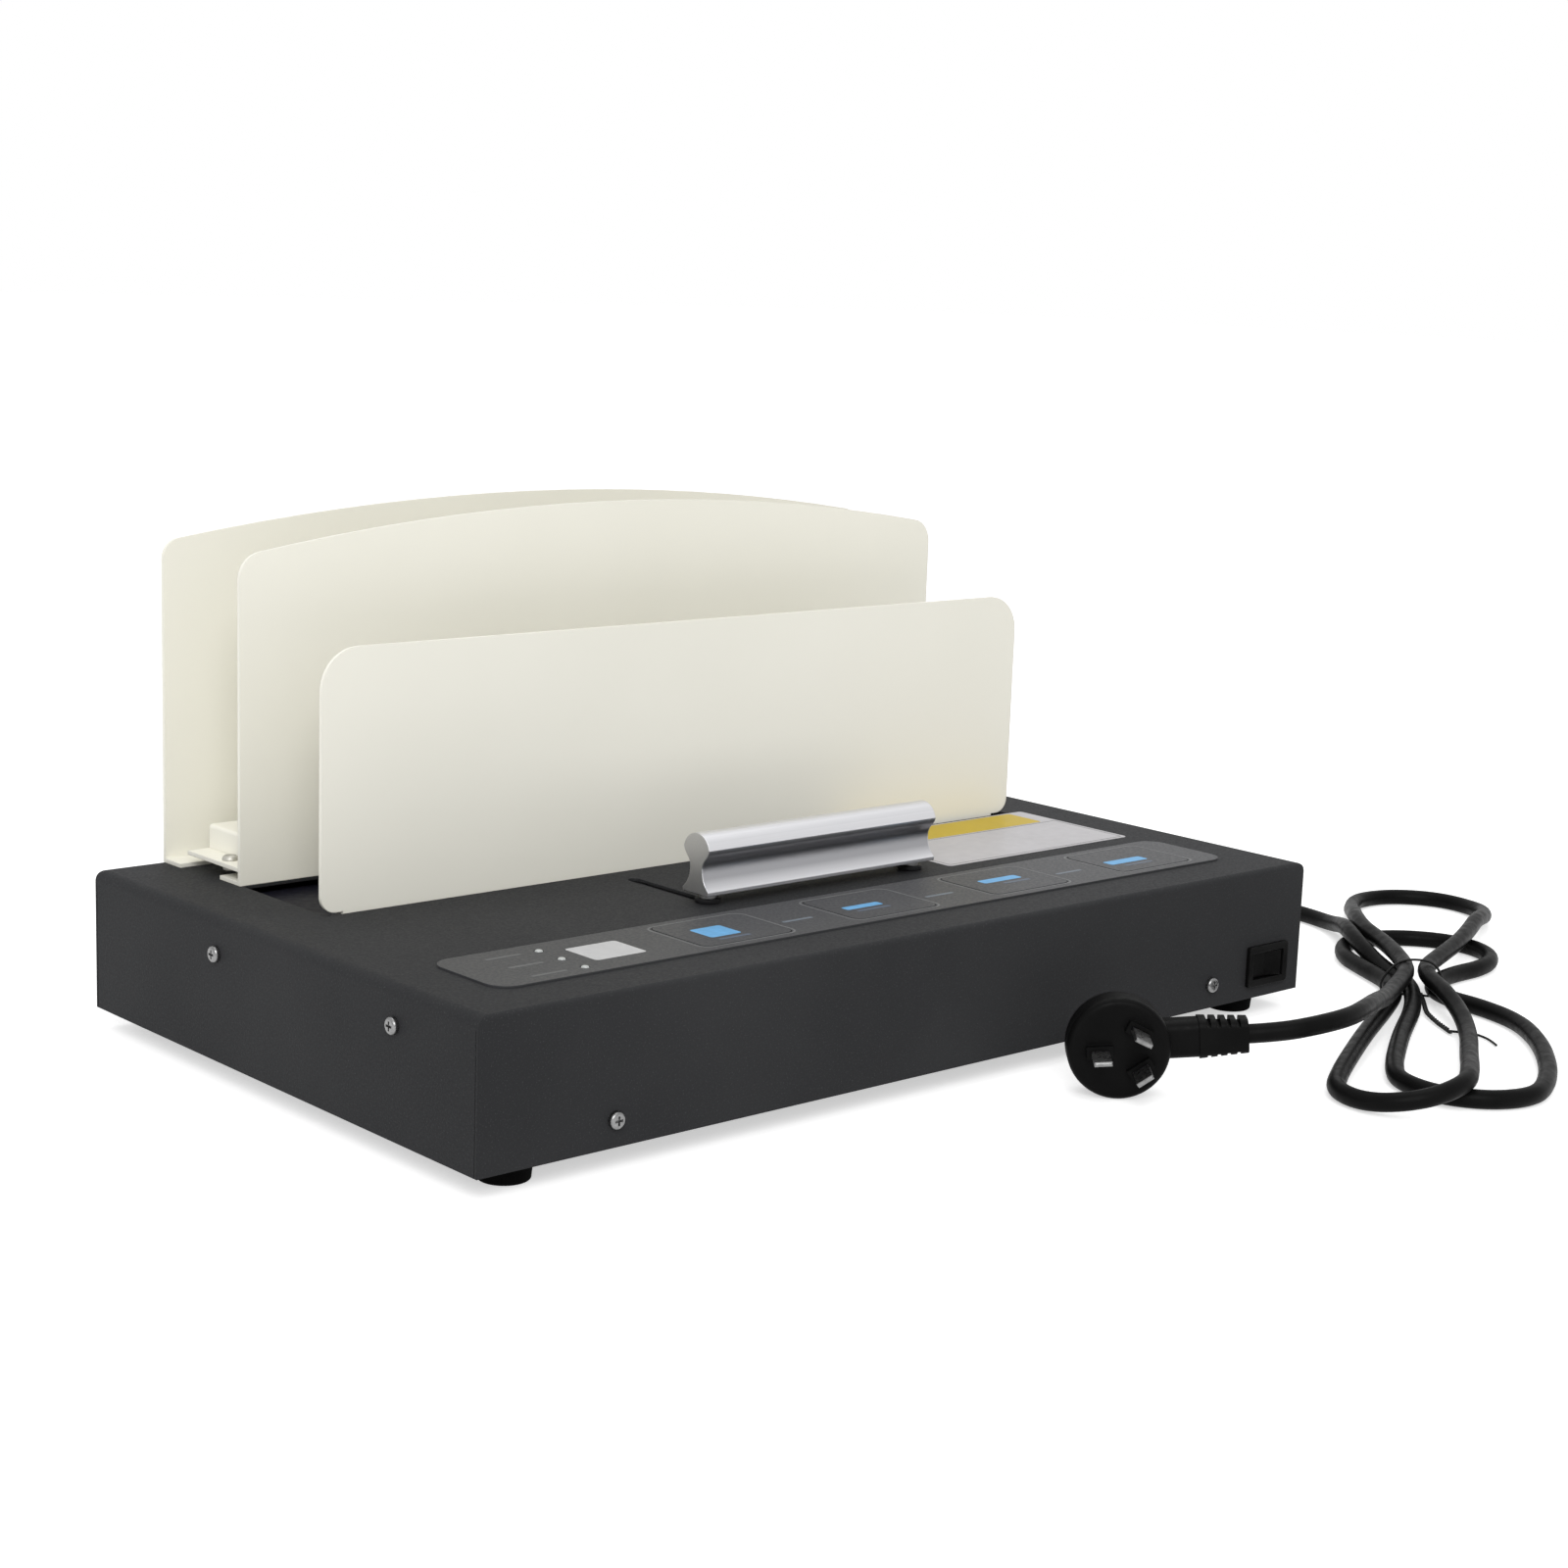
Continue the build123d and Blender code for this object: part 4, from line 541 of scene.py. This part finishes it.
def plug_vinyl():
    look = Look("plug_vinyl", (0.003, 0.003, 0.003), 0.44, Specular_IOR_Level=0.05)
    look.vary(look.noise(70.0), 0.3)
    look.gloss(look.noise(350.0), 0.36, 0.52)
    look.soften(0.5 * MM)
    look.bump(look.noise(1100.0, 2.0), depth=0.03 * MM, strength=0.4)
    return look.done()


def tie_coating():
    look = Look("tie_coating", (0.006, 0.006, 0.006), 0.45, Specular_IOR_Level=0.2)
    look.vary(look.noise(400.0), 0.3)
    look.bump(look.noise(2000.0, 2.0), depth=0.03 * MM, strength=0.4)
    return look.done()


NODE_LOOKS = {
    housing_paint: ["top_cover", "base_pan"],
    panel_paint: ["front_panel", "middle_panel", "rear_panel", "rack_shelf", "rack_tray"],
    foot_rubber: ["rubber_feet"],
    steel_screw: ["foot_screws", "cover_screws", "panel_rivets", "spacer_screws",
                  "handle_screws", "block_studs"],
    rack_screw_zinc: ["rack_screws"],
    grip_aluminium: ["clamp_handle"],
    post_steel: ["handle_posts", "guide_rods", "rod_brackets", "heater_clamp", "thermal_fuse"],
    black_plastic: ["shelf_spacers", "glide_washers", "bearing_blocks", "key_switches",
                    "board_posts", "display_module", "main_standoffs", "relay", "buzzer"],
    overlay_film: ["control_overlay", "key_1", "key_2", "key_3", "key_4"],
    window_film: ["display_window"],
    lamp_lens: ["status_lamps"],
    switch_black: ["rocker_bezel", "power_rocker"],
    brass: ["slide_bushes", "rocker_terminals"],
    pin_metal: ["plug_pins"],
    hot_plate: ["heating_plate"],
    heater_alloy: ["thermostat", "capacitor"],
    heater_mica: ["heater_element"],
    insulation: ["insulation_pad", "heater_pillars", "terminal_block"],
    circuit_board: ["display_board", "main_board"],
    coil_winding: ["transformer_coil"],
    core_plates: ["transformer_core"],
    sticker_film: ["blank_sticker"],
    plug_vinyl: ["plug_body", "cord_gland"],
}


def dress_nodes():
    for make, names in NODE_LOOKS.items():
        finish = make()
        for name in names:
            mesh = nodes[name].data
            mesh.materials.clear()
            mesh.materials.append(finish)


# ---------------------------------------------------------------- printed marks
# Sizes and places of the marks are in millimetres.
INK_T = 0.04
CORNER_STEPS = 6
SHARPEST_CORNER = 0.1

# Mark and caption bar of each key: x and y from the key's middle, half width, half depth, corner.
KEY_MARKS = {
    "key_1": ((-3.4, -0.7, 6.8, 6.2, 1.2), (-2.5, -10.0, 7.0, 0.8, 0.6)),
    "key_2": ((-4.6, -1.0, 8.8, 2.0, 0.9), (-3.5, -6.0, 8.0, 0.9, 0.6)),
    "key_3": ((-0.5, 2.1, 10.0, 2.4, 1.0), (3.0, -3.5, 7.0, 0.9, 0.6)),
    "key_4": ((-3.8, -2.0, 10.5, 2.7, 1.0), (-3.0, -8.0, 8.0, 0.8, 0.6)),
}
# Line round each key.
KEY_FRAME_GAP_X = 1.8
KEY_FRAME_GAP_Y = 1.3
KEY_FRAME_CORNER = 4.6
KEY_FRAME_LINE = 0.8
# Dash between two keys, shifted from the middle between them.
DASH_SHIFT_X = -3.0
DASH_SHIFT_Y = -3.4
DASH_HALF_W = 7.0
DASH_HALF_D = 0.9
DASH_CORNER = 0.8
# Bar to the left of each status lamp.
LAMP_PITCH = 12.5
LAMP_BAR_GAP = 6.0
LAMP_BAR_HALF_W = 7.0
LAMP_BAR_HALF_D = 0.9
LAMP_BAR_CORNER = 0.6
# Coloured band at the back of the sticker, and the line round the rest of it.
BAND_MARGIN = 1.2
BAND_RIGHT_GAP = 8.2
BAND_D = 20.0
BAND_CORNER = 1.2
RULES_MARGIN = 1.6
RULES_CORNER = 1.0
RULES_LINE = 0.35


def box_mm(node):
    """Lowest and highest corner of a node, in millimetres."""
    low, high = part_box(node)
    return low / MM, high / MM


def plate(x, y, half_w, half_d, corner):
    return (x - half_w, x + half_w, y - half_d, y + half_d, corner)


def rounded_outline(x0, x1, y0, y1, r):
    """Corner points of a rounded rectangle, anticlockwise."""
    points = []
    centres = ((x1 - r, y1 - r, 0), (x0 + r, y1 - r, 90), (x0 + r, y0 + r, 180),
               (x1 - r, y0 + r, 270))
    for x, y, start in centres:
        for k in range(CORNER_STEPS + 1):
            angle = radians(start + 90 / CORNER_STEPS * k)
            points.append((x + r * cos(angle), y + r * sin(angle)))
    return points


def ring_faces(mesh, outer, inner):
    """Flat band between two outlines with as many points."""
    count = len(outer)
    for k in range(count):
        after = (k + 1) % count
        mesh.faces.new((outer[k], outer[after], inner[after], inner[k]))


def print_mark(name, body, ink, plates, z, line=0.0):
    """Ink film at height z, in metres, on plates (x0, x1, y0, y1, corner), in millimetres.

    The plates are filled, or outlined by a line of the given width.
    """
    mesh = bmesh.new()

    def corners(outline):
        return [mesh.verts.new((x * MM, y * MM, z)) for x, y in outline]

    for x0, x1, y0, y1, corner in plates:
        outer = corners(rounded_outline(x0, x1, y0, y1, corner))
        if line:
            inner = rounded_outline(x0 + line, x1 - line, y0 + line, y1 - line,
                                    max(corner - line, SHARPEST_CORNER))
            ring_faces(mesh, outer, corners(inner))
        else:
            mesh.faces.new(outer)
    raised = bmesh.ops.extrude_face_region(mesh, geom=mesh.faces[:])
    lifted = [item for item in raised["geom"] if isinstance(item, bmesh.types.BMVert)]
    bmesh.ops.translate(mesh, vec=(0, 0, INK_T * MM), verts=lifted)
    bmesh.ops.recalc_face_normals(mesh, faces=mesh.faces[:])
    data = bpy.data.meshes.new(name)
    mesh.to_mesh(data)
    mesh.free()
    data.materials.append(ink)
    shown = add_object(name, data)
    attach(shown, body)


def key_marks():
    blue = blue_ink()
    dim = dim_blue_ink()
    for key, (mark, caption) in KEY_MARKS.items():
        low, high = box_mm(key)
        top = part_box(key)[1].z
        middle = (low + high) / 2
        for suffix, ink, (x, y, *size) in (("_mark", blue, mark), ("_caption_bar", dim, caption)):
            print_mark(key + suffix, key, ink,
                       [plate(middle.x + x, middle.y + y, *size)], top)


def overlay_marks():
    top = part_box("control_overlay")[1].z
    keys = [box_mm(key) for key in KEY_MARKS]
    middles = [(low + high) / 2 for low, high in keys]
    dashes = []
    for left, right in zip(middles, middles[1:]):
        between = (left + right) / 2
        dashes.append(plate(between.x + DASH_SHIFT_X, between.y + DASH_SHIFT_Y,
                            DASH_HALF_W, DASH_HALF_D, DASH_CORNER))
    print_mark("overlay_dashes", "chassis", pale_ink(), dashes, top)

    low, high = box_mm("status_lamps")
    x = low.x - LAMP_BAR_GAP - LAMP_BAR_HALF_W
    y = (low.y + high.y) / 2
    bars = [plate(x, y + step * LAMP_PITCH, LAMP_BAR_HALF_W, LAMP_BAR_HALF_D, LAMP_BAR_CORNER)
            for step in (1, 0, -1)]
    print_mark("overlay_lamp_bars", "chassis", line_ink(), bars, top)

    frames = [(low.x - KEY_FRAME_GAP_X, high.x + KEY_FRAME_GAP_X, low.y - KEY_FRAME_GAP_Y,
               high.y + KEY_FRAME_GAP_Y, KEY_FRAME_CORNER) for low, high in keys]
    print_mark("overlay_key_frames", "chassis", frame_ink(), frames, top,
               line=KEY_FRAME_LINE)


def sticker_marks():
    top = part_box("blank_sticker")[1].z
    low, high = box_mm("blank_sticker")
    band = (low.x + BAND_MARGIN, high.x - BAND_RIGHT_GAP, high.y - BAND_D, high.y - BAND_MARGIN,
            BAND_CORNER)
    print_mark("sticker_band", "chassis", amber_ink(), [band], top)
    rules = (low.x + RULES_MARGIN, high.x - RULES_MARGIN, low.y + RULES_MARGIN,
             high.y - BAND_D - BAND_MARGIN, RULES_CORNER)
    print_mark("sticker_rules", "chassis", line_ink(), [rules], top, line=RULES_LINE)


# ---------------------------------------------------------------- tie
# The tie's sizes and places are in millimetres, and its angles in radians.
TIE_AT = (256.0, -140.0)
HANK_YAW = radians(40.0)
TIE_WIRE_R = 0.5
RING_SWAY = 0.5
SWAY_STEP = 1.7
# Points of the ring round the hank: across the hank, and above the floor.
TIE_RING = [(-6.2, 0.6), (2.5, 0.6), (11.5, 0.6), (15.4, 1.4), (15.9, 5.4), (11.8, 11.6),
            (7.4, 15.2), (1.8, 15.7), (-3.4, 15.2), (-7.0, 12.6), (-9.7, 5.8), (-9.4, 1.2)]
# Middle line of the two twisted ends, and the free end of one wire, on the floor.
TWIST_LINE = [(256.0, -140.6, 1.4), (250.0, -146.0, 1.4), (244.0, -151.0, 1.5),
              (238.0, -155.8, 1.7), (232.0, -160.8, 2.0), (227.5, -166.5, 1.8),
              (223.5, -172.3, 1.6), (220.0, -178.0, 1.5), (216.6, -183.3, 1.5)]
LOOSE_LINE = [(220.4, -181.0, 0.8), (223.4, -184.6, 0.8), (225.0, -189.0, 0.8),
              (223.6, -194.5, 0.8), (221.0, -199.0, 0.8), (218.3, -202.6, 0.8)]
TWIST_R = 0.6
TWIST_STEPS = 8
TURN_PER_STEP = 1.25
LOOSE_STEPS = 4
# Directions across the twist's line: level, and up.
ASIDE = Vector((0.7, -0.7, 0.0))
UP = Vector((0.0, 0.0, 1.0))


def ring_point(across, height, along):
    """Point by the tie: across the hank, above the floor and along the hank."""
    x = TIE_AT[0] - sin(HANK_YAW) * across + cos(HANK_YAW) * along
    y = TIE_AT[1] + cos(HANK_YAW) * across + sin(HANK_YAW) * along
    return (x * MM, y * MM, height * MM)


def tie_ring():
    """Ring that sways a little along the hank from point to point."""
    return [ring_point(across, height, RING_SWAY * sin(k * SWAY_STEP))
            for k, (across, height) in enumerate(TIE_RING)]


def twisted_wire(phase):
    """One of the two wires that turn round the twist's middle line."""
    points = []
    last = len(TWIST_LINE) - 1
    for k in range(TWIST_STEPS * last + 1):
        whole, part = divmod(k, TWIST_STEPS)
        before = Vector(TWIST_LINE[whole])
        after = Vector(TWIST_LINE[min(whole + 1, last)])
        middle = before.lerp(after, part / TWIST_STEPS)
        angle = phase + TURN_PER_STEP * k
        offset = (ASIDE * cos(angle) + UP * sin(angle)) * TWIST_R
        points.append(tuple((middle + offset) * MM))
    return points


def make_tie():
    loose_end = [tuple(c * MM for c in point) for point in LOOSE_LINE]
    ends = [twisted_wire(0.0)[:-LOOSE_STEPS] + loose_end, twisted_wire(pi)]
    radius = TIE_WIRE_R * MM
    tubes = [spline_object("tie_ring", tie_ring(), radius, closed=True)]
    tubes += [spline_object("tie_end", points, radius) for points in ends]
    joined = bmesh.new()
    for tube in tubes:
        part = bpy.data.meshes.new_from_object(tube)
        joined.from_mesh(part)
        bpy.data.meshes.remove(part)
        bpy.data.objects.remove(tube)
    data = bpy.data.meshes.new("wire_tie")
    joined.to_mesh(data)
    joined.free()
    for face in data.polygons:
        face.use_smooth = True
    data.materials.append(tie_coating())
    tie = add_object("wire_tie", data)
    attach(tie, "chassis")
    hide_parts("cord_tie")


# ---------------------------------------------------------------- floor and light
FLOOR_HALF = 12.0
FLOOR_Z = -0.0002
FLOOR_GREY = 0.80
FLOOR_ROUGHNESS = 0.9
# What camera, glossy and transmission rays see of the floor: shaded grey plus an even glow.
SEEN_FLOOR_GREY = 0.75
SEEN_FLOOR_GLOW = 0.55
WORLD_LIGHT = 0.62
SEEN_WORLD_LIGHT = 1.0
LAMP_TARGET = (0.0, 0.0, 0.05)


def grey(level):
    return (level, level, level, 1.0)


def seen_rays(tree):
    """1 for camera, glossy and transmission rays."""
    path = tree.nodes.new("ShaderNodeLightPath")
    total = path.outputs["Is Camera Ray"]
    for ray in ("Is Glossy Ray", "Is Transmission Ray"):
        larger = tree.nodes.new("ShaderNodeMath")
        larger.operation = "MAXIMUM"
        tree.links.new(total, larger.inputs[0])
        tree.links.new(path.outputs[ray], larger.inputs[1])
        total = larger.outputs[0]
    return total


def split_by_ray(tree, lighting, seen, socket):
    """Link the seen shader to the socket for the rays of seen_rays, and lighting for all others."""
    mix = tree.nodes.new("ShaderNodeMixShader")
    tree.links.new(seen_rays(tree), mix.inputs[0])
    tree.links.new(lighting.outputs[0], mix.inputs[1])
    tree.links.new(seen.outputs[0], mix.inputs[2])
    tree.links.new(mix.outputs[0], socket)


def floor_material():
    material = bpy.data.materials.new("studio_floor")
    material.use_nodes = True
    tree = material.node_tree
    plain = tree.nodes["Principled BSDF"]
    plain.inputs["Base Color"].default_value = grey(FLOOR_GREY)
    plain.inputs["Roughness"].default_value = FLOOR_ROUGHNESS
    shaded = tree.nodes.new("ShaderNodeBsdfDiffuse")
    shaded.inputs["Color"].default_value = grey(SEEN_FLOOR_GREY)
    glow = tree.nodes.new("ShaderNodeEmission")
    glow.inputs["Strength"].default_value = SEEN_FLOOR_GLOW
    both = tree.nodes.new("ShaderNodeAddShader")
    tree.links.new(shaded.outputs[0], both.inputs[0])
    tree.links.new(glow.outputs[0], both.inputs[1])
    split_by_ray(tree, plain, both, tree.nodes["Material Output"].inputs["Surface"])
    return material


def make_floor():
    data = bpy.data.meshes.new("studio_floor")
    corners = [(x * FLOOR_HALF, y * FLOOR_HALF, FLOOR_Z)
               for x, y in ((-1, -1), (1, -1), (1, 1), (-1, 1))]
    data.from_pydata(corners, [], [(0, 1, 2, 3)])
    data.materials.append(floor_material())
    floor = add_object("studio_floor", data)


def make_world():
    world = bpy.data.worlds.new("studio")
    world.use_nodes = True
    scene.world = world
    tree = world.node_tree
    light = tree.nodes["Background"]
    light.inputs["Color"].default_value = grey(1.0)
    light.inputs["Strength"].default_value = WORLD_LIGHT
    white = tree.nodes.new("ShaderNodeBackground")
    white.inputs["Color"].default_value = grey(1.0)
    white.inputs["Strength"].default_value = SEEN_WORLD_LIGHT
    split_by_ray(tree, light, white, tree.nodes["World Output"].inputs["Surface"])


def soft_lamp(name, place, size, power):
    """Round area lamp that points at the machine."""
    data = bpy.data.lights.new(name, "AREA")
    data.shape = "DISK"
    data.size = size
    data.energy = power
    lamp = add_object(name, data)
    lamp.location = place
    aim = Vector(LAMP_TARGET) - Vector(place)
    lamp.rotation_euler = aim.to_track_quat("-Z", "Y").to_euler()


def make_lights():
    soft_lamp("key_lamp", place=(-2.1, -2.4, 2.4), size=2.4, power=88.0)
    soft_lamp("top_lamp", place=(0.3, 0.2, 2.4), size=2.0, power=16.0)


# ---------------------------------------------------------------- build
make_camera()
make_cord()
dress_nodes()
key_marks()
overlay_marks()
sticker_marks()
make_tie()
make_floor()
make_world()
make_lights()
